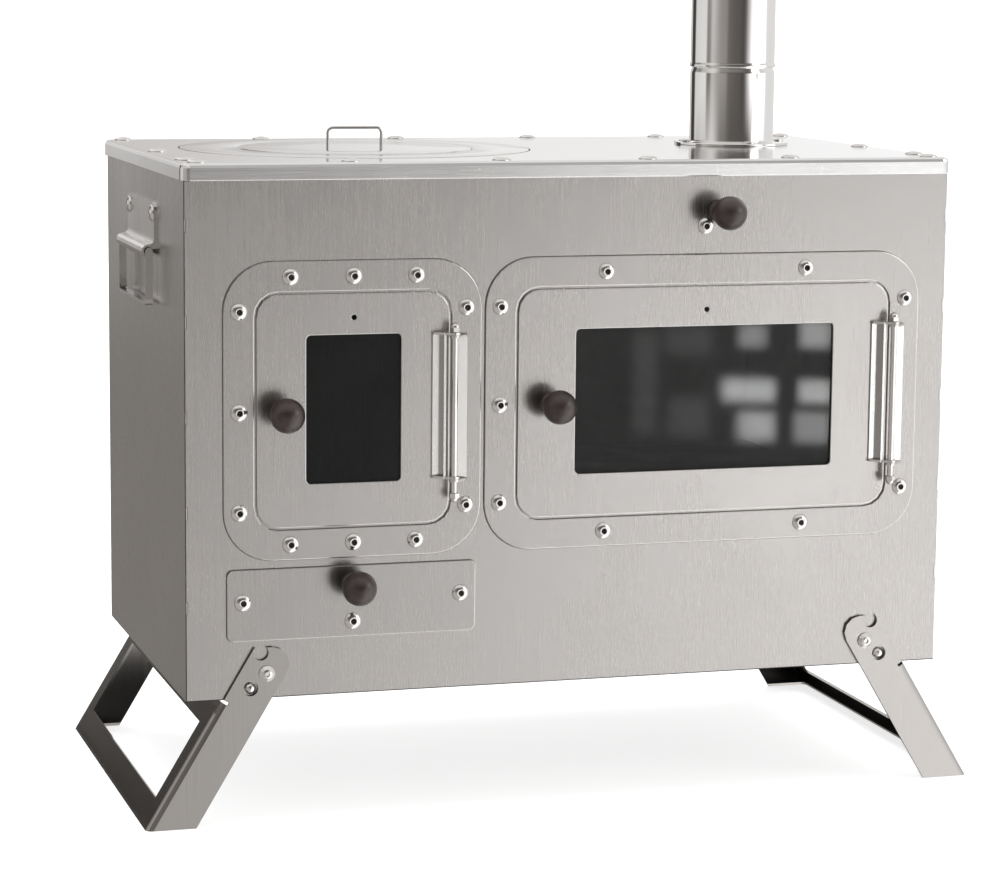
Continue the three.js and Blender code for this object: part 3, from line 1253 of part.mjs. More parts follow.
function addHandles(stove) {
  for (const [sideName, side] of [['left', -1], ['right', 1]]) {
    const at = groupAt(stove, side * (SIDE_X + HANDLE_AXIS_OFF), 0, LID_LOW_Z - HANDLE_AXIS_DROP);
    addPiece(at, `${sideName}_handle_bracket`, handleBracket(side), polishedSteel);
    addPiece(at, `${sideName}_handle_bail`, bail(), polishedSteel);
  }
}

// ---------------------------------------------------------------- the stove

const stove = new THREE.Group();
addPiece(stove, 'front_panel', frontPanel(), brushedSteel);
addPiece(stove, 'body_wrap', bodyWrap(), brushedSteel);
addPiece(stove, 'bottom_panel', bottomPanel(), brushedSteel);
addPiece(stove, 'lid', lid(), lidSteel);
addHob(stove);
addFlue(stove);
DOORS.forEach((door) => addDoor(stove, door));
addAshDrawer(stove);
addInside(stove);
addDamper(stove);
addLegs(stove);
addHandles(stove);
stove.position.y = (FRONT_REACH - BACK_REACH) / 2;

export default stove;
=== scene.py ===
"""Looks of the tent wood stove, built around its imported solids. Metres, in the solids' own frame."""

import json
import math

import bmesh
import bpy
from mathutils import Matrix, Vector


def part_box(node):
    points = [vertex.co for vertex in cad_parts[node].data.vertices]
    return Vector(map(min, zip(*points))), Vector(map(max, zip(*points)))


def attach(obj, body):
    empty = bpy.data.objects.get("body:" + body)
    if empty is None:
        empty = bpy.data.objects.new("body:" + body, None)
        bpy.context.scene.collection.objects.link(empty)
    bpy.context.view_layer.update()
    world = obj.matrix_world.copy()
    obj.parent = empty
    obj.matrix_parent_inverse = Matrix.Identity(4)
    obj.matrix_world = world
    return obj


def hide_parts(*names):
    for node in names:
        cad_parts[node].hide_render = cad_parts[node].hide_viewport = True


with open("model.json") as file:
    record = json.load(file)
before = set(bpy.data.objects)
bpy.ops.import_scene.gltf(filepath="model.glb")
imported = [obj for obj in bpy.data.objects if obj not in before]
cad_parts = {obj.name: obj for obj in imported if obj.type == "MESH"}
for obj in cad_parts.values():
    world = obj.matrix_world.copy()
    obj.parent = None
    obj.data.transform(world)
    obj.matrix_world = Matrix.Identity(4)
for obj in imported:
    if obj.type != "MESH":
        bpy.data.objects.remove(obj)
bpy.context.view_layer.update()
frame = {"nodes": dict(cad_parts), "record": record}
NODES = frame["nodes"]
MM = 0.001

# ---------------------------------------------------------------- sizes read off the solids


def middle(node):
    low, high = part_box(node)
    return (low + high) / 2


FRONT_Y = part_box("front_panel")[0].y
LID_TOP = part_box("lid")[1].z
BODY = "stove_body"

# ---------------------------------------------------------------- materials


def link(tree, source, target):
    tree.links.new(source, target)


def shader(name, color, roughness, metallic=0.0, **sockets):
    material = bpy.data.materials.new(name)
    material.use_nodes = True
    material.diffuse_color = (*color, 1)
    main = material.node_tree.nodes["Principled BSDF"]
    main.inputs["Base Color"].default_value = (*color, 1)
    main.inputs["Roughness"].default_value = roughness
    main.inputs["Metallic"].default_value = metallic
    for socket, value in sockets.items():
        main.inputs[socket.replace("_", " ")].default_value = value
    return material, main


def noise(tree, scale, stretch=(1, 1, 1), detail=3.0, roughness=0.55):
    """Noise in the piece's own place, stretched along the grain."""
    place = tree.nodes.new("ShaderNodeTexCoord")
    mapping = tree.nodes.new("ShaderNodeMapping")
    mapping.inputs["Scale"].default_value = stretch
    texture = tree.nodes.new("ShaderNodeTexNoise")
    texture.inputs["Scale"].default_value = scale
    texture.inputs["Detail"].default_value = detail
    texture.inputs["Roughness"].default_value = roughness
    link(tree, place.outputs["Object"], mapping.inputs["Vector"])
    link(tree, mapping.outputs["Vector"], texture.inputs["Vector"])
    return texture.outputs["Fac"]


def spread(tree, value, low, high, start=0.3, end=0.7):
    """value, which runs about from start to end, spread from low to high."""
    ramp = tree.nodes.new("ShaderNodeMapRange")
    for socket, number in zip(("From Min", "From Max", "To Min", "To Max"), (start, end, low, high)):
        ramp.inputs[socket].default_value = number
    link(tree, value, ramp.inputs["Value"])
    return ramp.outputs["Result"]


def shade_between(tree, value, dark, light):
    mix = tree.nodes.new("ShaderNodeMix")
    mix.data_type = "RGBA"
    mix.inputs["A"].default_value = (*dark, 1)
    mix.inputs["B"].default_value = (*light, 1)
    link(tree, value, mix.inputs["Factor"])
    return mix.outputs["Result"]


def combined(tree, operation, first, second):
    node = tree.nodes.new("ShaderNodeMath")
    node.operation = operation
    for socket, value in zip(node.inputs, (first, second)):
        if isinstance(value, (int, float)):
            socket.default_value = value
        else:
            link(tree, value, socket)
    return node.outputs["Value"]


def bumped(tree, main, height, strength, distance):
    bump = tree.nodes.new("ShaderNodeBump")
    bump.inputs["Strength"].default_value = strength
    bump.inputs["Distance"].default_value = distance
    link(tree, height, bump.inputs["Height"])
    link(tree, bump.outputs["Normal"], main.inputs["Normal"])


def brushed(name, color, roughness, grain=(1, 1, 0.012), swing=0.05, lines=0.22, cloud=0.04):
    """Sheet steel with a fine one-way grain, faint smudges and a slightly uneven sheen."""
    material, main = shader(name, color, roughness, 1.0)
    tree = material.node_tree
    fine = noise(tree, 2300, grain, 2.0, 0.7)
    coarse = noise(tree, 750, grain, 3.0, 0.7)
    smudge = noise(tree, 7, (1, 1, 1), 4.0, 0.6)
    half_fine, half_coarse = (combined(tree, "MULTIPLY", grains, 0.5) for grains in (fine, coarse))
    grainy = combined(tree, "ADD", half_fine, half_coarse)
    tone = combined(
        tree,
        "ADD",
        spread(tree, grainy, 0.5 - lines, 0.5 + lines, 0.35, 0.65),
        spread(tree, smudge, -cloud * 4, cloud * 4),
    )
    dark = tuple(c * 0.86 for c in color)
    light = tuple(min(1.0, c * 1.1) for c in color)
    link(tree, shade_between(tree, tone, dark, light), main.inputs["Base Color"])
    sheen = combined(
        tree,
        "ADD",
        spread(tree, grainy, roughness - swing, roughness + swing),
        spread(tree, smudge, -cloud, cloud),
    )
    link(tree, sheen, main.inputs["Roughness"])
    bumped(tree, main, grainy, 0.18, 0.00006)
    return material


def polished(name, color, roughness, wave=0.1):
    """Bright steel: soft unevenness, faint wipe marks."""
    material, main = shader(name, color, roughness, 1.0)
    tree = material.node_tree
    smudge = noise(tree, 22, (1, 1, 0.3), 5.0, 0.6)
    wipe = noise(tree, 900, (1, 1, 0.03), 2.0, 0.6)
    link(tree, shade_between(tree, smudge, tuple(c * 0.94 for c in color), color), main.inputs["Base Color"])
    sheen = combined(
        tree,
        "ADD",
        spread(tree, smudge, roughness - 0.03, roughness + 0.04),
        spread(tree, wipe, -0.02, 0.02),
    )
    link(tree, sheen, main.inputs["Roughness"])
    bumped(tree, main, smudge, wave, 0.0004)
    return material


def sooted(name, color, soot, roughness, metallic=0.8):
    """Sheet steel inside the stove, browned and sooted in patches. The same look in darker tones makes the
    painted shade in seams, gaps and fastener holes.
    """
    material, main = shader(name, color, roughness, metallic)
    tree = material.node_tree
    patch = noise(tree, 16, (1, 1, 1), 6.0, 0.65)
    tone = spread(tree, patch, 0, 1, 0.35, 0.65)
    link(tree, shade_between(tree, tone, soot, color), main.inputs["Base Color"])
    link(tree, spread(tree, patch, roughness + 0.12, roughness - 0.08), main.inputs["Roughness"])
    bumped(tree, main, noise(tree, 300), 0.12, 0.0002)
    return material


def moulded(name, color, roughness):
    """Satin resin with a fine orange peel and a faint mottle."""
    material, main = shader(name, color, roughness, 0.0, Coat_Weight=0.25, Coat_Roughness=0.3)
    tree = material.node_tree
    mottle = noise(tree, 160, (1, 1, 1), 4.0, 0.6)
    dark, light = (tuple(c * share for c in color) for share in (0.7, 1.3))
    link(tree, shade_between(tree, spread(tree, mottle, 0, 1), dark, light), main.inputs["Base Color"])
    link(tree, spread(tree, mottle, roughness - 0.05, roughness + 0.06), main.inputs["Roughness"])
    bumped(tree, main, noise(tree, 1500, (1, 1, 1), 2.0), 0.1, 0.0001)
    return material


def dark_glass(name, least, most, mirror):
    """Dark heat-proof glass with a breath of soot: part see-through, part mirror. Its cover runs
    from least to most, and mirror says how strongly it reflects."""
    material, main = shader(name, (0.006, 0.006, 0.007), 0.02, 0.0, Specular_IOR_Level=mirror)
    tree = material.node_tree
    haze = noise(tree, 9, (1, 1, 1), 4.0, 0.6)
    soot = noise(tree, 30, (1, 1, 1), 5.0, 0.65)
    link(tree, spread(tree, haze, 0.012, 0.03), main.inputs["Roughness"])
    link(tree, spread(tree, soot, least, most), main.inputs["Alpha"])
    tint = shade_between(tree, soot, (0.004, 0.004, 0.005), (0.010, 0.009, 0.008))
    link(tree, tint, main.inputs["Base Color"])
    return material


STEEL = (0.45, 0.432, 0.418)
LID_STEEL = (0.80, 0.795, 0.79)
panel_steel = brushed("panel_steel", STEEL, 0.26, swing=0.04, lines=0.17)
door_steel = brushed("door_steel", (0.47, 0.451, 0.437), 0.26, swing=0.04, lines=0.17)
# A slightly darker copy of the brushed steel for the ash drawer plate: painted shade.
plate_steel_painted_darker = brushed("plate_steel_painted_darker", (0.43, 0.413, 0.4), 0.26, swing=0.04, lines=0.17)
# A lighter copy of the brushed steel for the sides and bottom: painted light for how brightly the sides are
# lit.
side_steel_painted_lighter = brushed("side_steel_painted_lighter", (0.68, 0.67, 0.655), 0.26, lines=0.17)
# A darker, glossier copy of the brushed steel for the legs: painted shade.
leg_steel_painted_darker = brushed("leg_steel_painted_darker", (0.40, 0.382, 0.366), 0.15, swing=0.03, lines=0.15, cloud=0.02)
top_steel = brushed("top_steel", LID_STEEL, 0.12, (0.02, 1, 1), 0.03, 0.12, 0.03)
pipe_steel = polished("pipe_steel", (0.82, 0.81, 0.80), 0.07)
bright_steel = polished("bright_steel", (0.68, 0.665, 0.65), 0.18)
# A lighter steel for the softened edges of plates: painted highlight.
edge_highlight_steel = polished("edge_highlight_steel", (0.60, 0.585, 0.57), 0.2, 0.03)
bolt_steel = polished("bolt_steel", (0.76, 0.74, 0.72), 0.18, 0.05)
inner_steel = sooted("inner_steel", (0.34, 0.32, 0.30), (0.12, 0.11, 0.10), 0.45)
oven_steel = sooted("oven_steel", (0.50, 0.48, 0.46), (0.34, 0.32, 0.30), 0.4, 0.35)
fire_steel = sooted("fire_steel", (0.10, 0.09, 0.085), (0.02, 0.018, 0.016), 0.6)
resin = moulded("knob_resin", (0.027, 0.0155, 0.014), 0.36)
glass = dark_glass("door_glass", 0.34, 0.44, 0.42)
# Less see-through and less of a mirror on the firebox door: painted shade that keeps the view into the firebox
# dark.
dim_glass = dark_glass("painted_shade_glass", 0.72, 0.84, 0.2)
# Painted shade: a dark look for the strips and rings that stand in for the shade in seams and gaps.
painted_seam_shade = sooted("painted_seam_shade", (0.035, 0.032, 0.03), (0.015, 0.014, 0.013), 0.6, 0.3)
# Painted shadow: a dark look for the strips around the plates on the front.
gap_shade = sooted("gap_shade", (0.17, 0.16, 0.15), (0.12, 0.113, 0.107), 0.5, 0.4)
# Painted shade: a dark look for the faces inside rivet holes and screw sockets.
painted_hole_shade = sooted("painted_hole_shade", (0.05, 0.045, 0.04), (0.02, 0.02, 0.02), 0.5)

NODE_STEEL = {
    "front_panel": panel_steel,
    "body_wrap": side_steel_painted_lighter,
    "bottom_panel": side_steel_painted_lighter,
    "lid": top_steel,
    "firebox_frame": panel_steel,
    "oven_frame": panel_steel,
    "firebox_door": door_steel,
    "oven_door": door_steel,
    "ash_drawer_front": plate_steel_painted_darker,
    "oven_liner": oven_steel,
    "firebox_glass": dim_glass,
    "left_leg": leg_steel_painted_darker,
    "right_leg": leg_steel_painted_darker,
}
SLOT_LOOK = {
    "brushed_steel": panel_steel,
    "top_steel": top_steel,
    "polished_steel": bright_steel,
    "fastener_steel": bolt_steel,
    "inner_steel": inner_steel,
    "dark_steel": fire_steel,
    "knob_resin": resin,
    "door_glass": glass,
}

# ---------------------------------------------------------------- mesh helpers


def piece(name, mesh, body, slot, *materials):
    obj = bpy.data.objects.new(name, mesh)
    bpy.context.scene.collection.objects.link(obj)
    for material in materials:
        mesh.materials.append(material)
    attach(obj, body)
    return obj


def turned(bm, profile, at, axis, sides=40, dark_from=None):
    """A revolved profile, a list of (radius, height), added to bm at a place and along an axis.
    From the row dark_from on, faces take the second material."""
    turn = Vector((0, 0, 1)).rotation_difference(Vector(axis)).to_matrix()
    rows = []
    for radius, height in profile:
        if radius < 1e-9:
            rows.append([bm.verts.new(turn @ Vector((0, 0, height)) + Vector(at))])
            continue
        row = []
        for i in range(sides):
            a = 2 * math.pi * i / sides
            spot = Vector((radius * math.cos(a), radius * math.sin(a), height))
            row.append(bm.verts.new(turn @ spot + Vector(at)))
        rows.append(row)
    for n, (first, second) in enumerate(zip(rows, rows[1:])):
        for i in range(sides):
            j = (i + 1) % sides
            corners = [first[i % len(first)], first[j % len(first)]]
            corners += [second[j % len(second)], second[i % len(second)]]
            unique = [c for k, c in enumerate(corners) if c not in corners[:k]]
            if len(unique) < 3:
                continue
            face = bm.faces.new(unique)
            face.smooth = True
            face.material_index = 1 if dark_from is not None and n >= dark_from else 0


def meshed(name, bm, sharp=math.radians(35)):
    """bm as a mesh, with edges sharper than the limit kept crisp."""
    bmesh.ops.recalc_face_normals(bm, faces=bm.faces)
    for edge in bm.edges:
        if len(edge.link_faces) == 2 and edge.calc_face_angle() > sharp:
            edge.smooth = False
    mesh = bpy.data.meshes.new(name)
    bm.to_mesh(mesh)
    bm.free()
    return mesh


def mm(points):
    return [(radius * MM, height * MM) for radius, height in points]


# ---------------------------------------------------------------- rivets and small fasteners

RIVET = mm([
    (5.5, 0.0), (5.5, 0.25), (5.3, 0.65), (4.7, 1.25), (3.8, 1.8), (2.8, 2.15), (2.1, 2.25), (1.9, 2.15),
    (1.8, 1.75), (1.75, 0.9), (0.8, 0.9), (0.75, 1.2), (0.0, 1.3),
])
# From this row on the rivet's hole is coloured dark: painted shade in the recess.
RIVET_DARK = 8
LID_RIVET = mm([(6.2, 0.0), (6.2, 0.2), (5.9, 0.65), (5.1, 1.2), (3.8, 1.65), (2.0, 1.95), (0.0, 2.05)])
SCREW = mm([
    (4.4, 0.0), (4.4, 0.5), (4.2, 0.95), (3.4, 1.4), (2.3, 1.6), (1.6, 1.6),
    (1.5, 1.3), (1.4, 0.8), (0.0, 0.8),
])
# From this row on the screw's socket is coloured dark: painted shade in the recess.
SCREW_DARK = 6
FORWARD, UP = (0, -1, 0), (0, 0, 1)


def riveted(name, places, axis, body, profile=RIVET, dark=RIVET_DARK, sides=28):
    bm = bmesh.new()
    for place in places:
        turned(bm, profile, place, axis, sides, dark)
    piece(name, meshed(name, bm), body, "fastener_steel", bolt_steel, painted_hole_shade)


def grid(node, offsets, y):
    """Places in front of a node's middle, from offsets in millimetres along X and Z."""
    centre = middle(node)
    return [(centre.x + x * MM, y, centre.z + z * MM) for x, z in offsets]


frame_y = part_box("oven_frame")[0].y
firebox_rivets = [(x, z) for x in (-41.4, 0, 41.4) for z in (-86, 86)]
firebox_rivets += [(-74.8, z) for z in (-64.4, 0, 64.4)] + [(74.8, z) for z in (-64.4, 64.4)]
oven_rivets = [(x, z) for x in (-69.8, 69.8) for z in (-85.8, 85.8)]
oven_rivets += [(-141.7, z) for z in (-64.2, 0, 64.2)] + [(141.7, z) for z in (-64.2, 64.2)]
riveted("firebox_frame_rivets", grid("firebox_frame", firebox_rivets, frame_y), FORWARD, BODY)
riveted("oven_frame_rivets", grid("oven_frame", oven_rivets, frame_y), FORWARD, BODY)
ash_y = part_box("ash_drawer_front")[0].y
riveted(
    "ash_drawer_rivets",
    grid("ash_drawer_front", [(-72.3, 1.9), (72.3, 1.9), (0.2, -13.2)], ash_y),
    FORWARD,
    "ash_drawer",
)
riveted("damper_guide_rivet", grid("damper_guide", [(-4.5, -5.1)], FRONT_Y), FORWARD, BODY)

lid_middle = middle("lid")
lid_places = [(x, s * 134) for x in (-249.5, -150, -50, 50, 150, 249.5) for s in (-1, 1)]
lid_places += [(s * 252, y) for s in (-1, 1) for y in (-105, -11)]
riveted(
    "lid_rivets",
    [(lid_middle.x + x * MM, lid_middle.y + y * MM, LID_TOP) for x, y in lid_places],
    UP,
    BODY,
    LID_RIVET,
    None,
)
flue = middle("flue_collar")
flange_top = LID_TOP + 2 * MM
SCREW_CIRCLE = 35.2 * MM
riveted(
    "flue_flange_screws",
    [(flue.x + SCREW_CIRCLE * math.cos(a), flue.y + SCREW_CIRCLE * math.sin(a), flange_top) for a in
     (0, math.pi / 2, math.pi, -math.pi / 2)],
    UP,
    BODY,
    SCREW,
    SCREW_DARK,
)
for side_name, side in (("left", -1), ("right", 1)):
    low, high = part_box(f"{side_name}_handle_bracket")
    face_x = side * (0.260 + 1.5 * MM)
    centre_y = (low.y + high.y) / 2
    riveted(
        f"{side_name}_handle_rivets",
        [(face_x, centre_y + s * 42 * MM, high.z - 7.5 * MM) for s in (-1, 1)],
        (side, 0, 0),
        BODY,
    )

# ---------------------------------------------------------------- finer turned pieces


def arc(cx, cy, radius, start, end, steps):
    """Points of an arc in a profile, in millimetres and degrees."""
    points = []
    for i in range(steps + 1):
        a = math.radians(start + (end - start) * i / steps)
        points.append((cx + radius * math.cos(a), cy + radius * math.sin(a)))
    return points


def knob(node, body):
    """A ball knob on a short turned neck, with the faint seam of its mould."""
    low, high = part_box(node)
    length = (high.y - low.y) / MM
    radius = (high.x - low.x) / 2 / MM
    ball = length - radius
    neck = 5.5
    start = math.degrees(math.asin(neck / radius)) - 90
    profile = [(0.0, 0.0), (7.2, 0.0), (7.5, 0.3), (7.5, 1.3), (7.1, 1.8), (6.0, 2.8), (5.6, 3.6)]
    profile += [(neck, ball + radius * math.sin(math.radians(start)) - 0.4)]
    profile += arc(0, ball, radius, start, -2, 16) + [(radius - 0.06, ball)] + arc(0, ball, radius, 2, 90, 22)
    profile[-1] = (0.0, length)
    bm = bmesh.new()
    turned(bm, mm(profile), ((low.x + high.x) / 2, high.y, (low.z + high.z) / 2), FORWARD, 64)
    name = f"{node}_turned"
    obj = piece(name, meshed(name, bm, math.radians(50)), body, "knob_resin", resin)
    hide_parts(node)


knob("firebox_knob", "firebox_latch_turn")
knob("oven_knob", "oven_latch_turn")
knob("ash_drawer_knob", "ash_drawer")
knob("damper_knob", "damper")


def lathe_piece(node, body, slot, material, profile, at, sides=128):
    bm = bmesh.new()
    turned(bm, mm(profile + profile[:1]), at, UP, sides)
    bmesh.ops.remove_doubles(bm, verts=bm.verts, dist=1e-7)
    name = f"{node}_turned"
    obj = piece(name, meshed(name, bm, math.radians(30)), body, slot, material)
    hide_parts(node)


collar_at = (flue.x, flue.y, LID_TOP)
lathe_piece("flue_collar", BODY, "polished_steel", pipe_steel, [
    (29.1, -37), (30, -37), (30, 0), (40.2, 0), (40.6, 0.3), (40.6, 1.6), (40.2, 2), (31.6, 2),
    (30.5, 2.5), (30, 3.6), (30, 50.6), (29.8, 51.6), (28.95, 53.8), (28.8, 54.5), (28.8, 86.3),
    (28.6, 86.5), (27.9, 86.5), (27.9, 54.6), (29.1, 51.4),
], collar_at)
pipe_low, pipe_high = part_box("chimney_pipe")
pipe_length = (pipe_high.z - pipe_low.z) / MM
shoulder = pipe_length - 32
lathe_piece("chimney_pipe", "chimney", "polished_steel", pipe_steel, [
    (29.15, 0), (30.3, 0), (30.55, 0.25), (30.6, 0.8), (30.55, 1.8), (30.2, 2.6), (30, 3.4),
    (30, shoulder - 3.2), (29.8, shoulder - 2.4), (28.95, shoulder - 0.4), (28.8, shoulder + 0.3),
    (28.8, pipe_length - 0.2),
    (28.6, pipe_length), (27.9, pipe_length), (27.9, shoulder), (29.1, shoulder - 3),
], (flue.x, flue.y, pipe_low.z))

hob = middle("hob_ring")
ring_low, ring_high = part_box("hob_ring")
ring_radius = (ring_high.x - ring_low.x) / 2 / MM
disc_low, disc_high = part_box("hob_disc")
disc_radius = (disc_high.x - disc_low.x) / 2 / MM
HOB_GAP = 0.7  # millimetres between the disc and the ring
HOB_SIDES = 160
hole = disc_radius + HOB_GAP
lathe_piece("hob_ring", "ring", "top_steel", top_steel, [
    (hole, 0), (hole, 0.9), (hole + 0.2, 1.3), (hole + 0.6, 1.5), (ring_radius - 0.6, 1.5),
    (ring_radius - 0.2, 1.3), (ring_radius, 0.9), (ring_radius, 0),
    (hole + 6.5, 0), (hole + 6.5, -1.5), (hole - 6.5, -1.5), (hole - 6.5, 0),
], (hob.x, hob.y, ring_high.z - 1.5 * MM), HOB_SIDES)
bm = bmesh.new()
disc_profile = [(0, 0), (disc_radius, 0), (disc_radius, 0.9), (disc_radius - 0.2, 1.3)]
disc_profile += [(disc_radius - 0.6, 1.5), (40, 1.5), (0, 1.5)]
turned(bm, mm(disc_profile), (hob.x, hob.y, disc_low.z), UP, HOB_SIDES)
disc_mesh = meshed("hob_disc_turned", bm, math.radians(30))
disc = piece("hob_disc_turned", disc_mesh, "disc", "top_steel", top_steel)
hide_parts("hob_disc")


def swept(points, radius, sides=20):
    """A round rod along points, which lie in one plane square to Y."""
    bm = bmesh.new()
    rows = []
    for i, point in enumerate(points):
        before, after = points[max(i - 1, 0)], points[min(i + 1, len(points) - 1)]
        along = (Vector(after) - Vector(before)).normalized()
        across = Vector((0, 1, 0))
        other = along.cross(across)
        row = []
        for k in range(sides):
            a = 2 * math.pi * k / sides
            row.append(bm.verts.new(Vector(point) + radius * (math.cos(a) * across + math.sin(a) * other)))
        rows.append(row)
    for first, second in zip(rows, rows[1:]):
        for k in range(sides):
            face = bm.faces.new((first[k], first[(k + 1) % sides], second[(k + 1) % sides], second[k]))
            face.smooth = True
    bm.faces.new(rows[0])
    bm.faces.new(rows[-1])
    return bm


handle_low, handle_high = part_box("hob_disc_handle")
rod = (handle_high.y - handle_low.y) / 2
HANDLE_WIDENING = 1 * MM
half = (handle_high.x - handle_low.x) / 2 - rod + HANDLE_WIDENING
top = handle_high.z - rod
bend = 3.5 * MM
arch = [(hob.x - half, handle_low.z)]
arch += [(hob.x - half + bend - bend * math.cos(a), top - bend + bend * math.sin(a)) for a in
         [math.radians(9 * i) for i in range(11)]]
arch += [(2 * hob.x - x, z) for x, z in reversed(arch)]
rod_bm = swept([(x, hob.y, z) for x, z in arch], rod)
rod_mesh = meshed("hob_disc_handle_rod", rod_bm)
handle = piece("hob_disc_handle_rod", rod_mesh, "disc", "polished_steel", bright_steel)
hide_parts("hob_disc_handle")


SEAM_LIFT = 0.03 * MM  # keeps a gap line just off the sheet behind it
SEAM_LAP = 0.1  # millimetres that a gap ring reaches under its neighbour


def seam_ring(name, inner, outer, z, body):
    """Painted shade for the gap beside a lift-out plate: a flat dark ring, in millimetres."""
    bm = bmesh.new()
    turned(bm, mm([(inner, 0), (outer, 0)]), (hob.x, hob.y, z), UP, HOB_SIDES)
    piece(name, meshed(name, bm), body, "inner_steel", painted_seam_shade)


seam_ring("hob_ring_gap", ring_radius - SEAM_LAP, ring_radius + 0.8, LID_TOP + SEAM_LIFT, BODY)
seam_ring("hob_disc_gap", disc_radius - SEAM_LAP, hole + SEAM_LAP, ring_high.z - 0.75 * MM, "ring")


def seam_line(name, low_x, low_z, high_x, high_z):
    """Painted shade where two sheets meet: a dark flat strip just in front of the front panel."""
    corners = [(low_x, low_z), (high_x, low_z), (high_x, high_z), (low_x, high_z)]
    bm = bmesh.new()
    bm.faces.new([bm.verts.new((x, FRONT_Y - SEAM_LIFT, z)) for x, z in corners])
    piece(name, meshed(name, bm), BODY, "inner_steel", painted_seam_shade)


panel_low, panel_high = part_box("front_panel")
SEAM_WIDTH = 0.6 * MM
lid_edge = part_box("lid")[0].z
seam_line("front_left_seam", panel_low.x, panel_low.z, panel_low.x + SEAM_WIDTH, lid_edge)
seam_line("front_lower_seam", panel_low.x, panel_low.z, panel_high.x, panel_low.z + SEAM_WIDTH)


def rounded_outline(node, radius, grow):
    """The outline of a plate on the front, as (x, z), grown by so many millimetres."""
    low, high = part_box(node)
    points = []
    for x, z, start in ((high.x, high.z, 0), (low.x, high.z, 90), (low.x, low.z, 180), (high.x, low.z, 270)):
        centre_x = x - radius * MM if x > (low.x + high.x) / 2 else x + radius * MM
        centre_z = z - radius * MM if z > (low.z + high.z) / 2 else z + radius * MM
        for dx, dz in arc(0, 0, radius + grow, start, start + 90, 12):
            points.append((centre_x + dx * MM, centre_z + dz * MM))
    return points


def seam_round(node, radius, width, body):
    """Painted shadow: a thin dark strip on the panel around a plate's edge, standing for the shaded gap
    between the plate and the panel that it lies on.
    """
    bm = bmesh.new()
    rows = []
    for grow in (-0.15, width):
        outline = rounded_outline(node, radius, grow)
        rows.append([bm.verts.new((x, FRONT_Y - SEAM_LIFT, z)) for x, z in outline])
    count = len(rows[0])
    for i in range(count):
        j = (i + 1) % count
        bm.faces.new((rows[0][i], rows[0][j], rows[1][j], rows[1][i]))
    piece(f"{node}_gap", meshed(f"{node}_gap", bm), body, "inner_steel", gap_shade)


FRAME_CORNER, ASH_PLATE_CORNER = 32, 4  # the solids' corner radii in millimetres
seam_round("firebox_frame", FRAME_CORNER, 0.4, BODY)
seam_round("oven_frame", FRAME_CORNER, 0.4, BODY)
seam_round("ash_drawer_front", ASH_PLATE_CORNER, 0.3, "ash_drawer")


def hinge_pin(node):
    """Plain pin with an acorn nut at each end."""
    low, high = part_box(node)
    x, y = (low.x + high.x) / 2, (low.y + high.y) / 2
    total = (high.z - low.z) / MM
    bm = bmesh.new()
    turned(bm, mm([(0, 3), (2, 3), (2, total - 3), (0, total - 3)]), (x, y, low.z), UP, 32)
    across = 3.55
    hexagon = [(0, 0), (across * 0.86, 0), (across, 0.35), (across, 2.9), (across * 0.9, 3.25), (0, 3.25)]
    dome = [(2.9, 3.1)] + arc(0, 3.2, 2.9, 0, 90, 8)
    dome[-1] = (0, 6.1)
    for z, axis in ((high.z - 6.5 * MM, 1), (low.z + 6.5 * MM, -1)):
        turned(bm, mm(hexagon), (x, y, z), (0, 0, axis), 6)
        turned(bm, mm(dome), (x, y, z), (0, 0, axis), 32)
    name = f"{node}_with_nuts"
    obj = piece(name, meshed(name, bm), BODY, "fastener_steel", bolt_steel)
    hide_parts(node)


hinge_pin("firebox_hinge_pin")
hinge_pin("oven_hinge_pin")

# ---------------------------------------------------------------- solids that stay: looks and softened edges

# Millimetres of softened edge on each solid.
SOFT_EDGE = {
    "lid": 0.6,
    "firebox_frame": 0.5,
    "oven_frame": 0.5,
    "firebox_door": 0.45,
    "oven_door": 0.45,
    "ash_drawer_front": 0.4,
    "front_panel": 0.3,
    "left_leg": 0.4,
    "right_leg": 0.4,
}
# Plates whose softened edges take a lighter, smoother steel than their faces: a painted highlight along their
# edges.
HIGHLIGHT_EDGE = ("firebox_frame", "oven_frame", "firebox_door", "oven_door", "ash_drawer_front")
slot_of = {s["node"]: s["material_slot"] for s in frame["record"]["subparts"]}
for name, obj in NODES.items():
    look = NODE_STEEL.get(name) or SLOT_LOOK[slot_of[name]]
    obj.data.materials.clear()
    obj.data.materials.append(look)
    if name in SOFT_EDGE:
        joined = obj.modifiers.new("joined_corners", "WELD")
        joined.merge_threshold = 0.001 * MM
        flat = obj.modifiers.new("one_face_each", "DECIMATE")
        flat.decimate_type = "DISSOLVE"
        flat.angle_limit = math.radians(0.5)
        bevel = obj.modifiers.new("soft_edge", "BEVEL")
        bevel.width = SOFT_EDGE[name] * MM
        bevel.segments = 2
        bevel.limit_method = "ANGLE"
        bevel.angle_limit = math.radians(40)
        # The softened edges take the lighter steel: painted highlight.
        if name in HIGHLIGHT_EDGE:
            bevel.use_clamp_overlap = False
            obj.data.materials.append(edge_highlight_steel)
            bevel.material = 1
        crisp = obj.modifiers.new("crisp_faces", "EDGE_SPLIT")
        crisp.split_angle = math.radians(20)

# ---------------------------------------------------------------- stage, light and camera


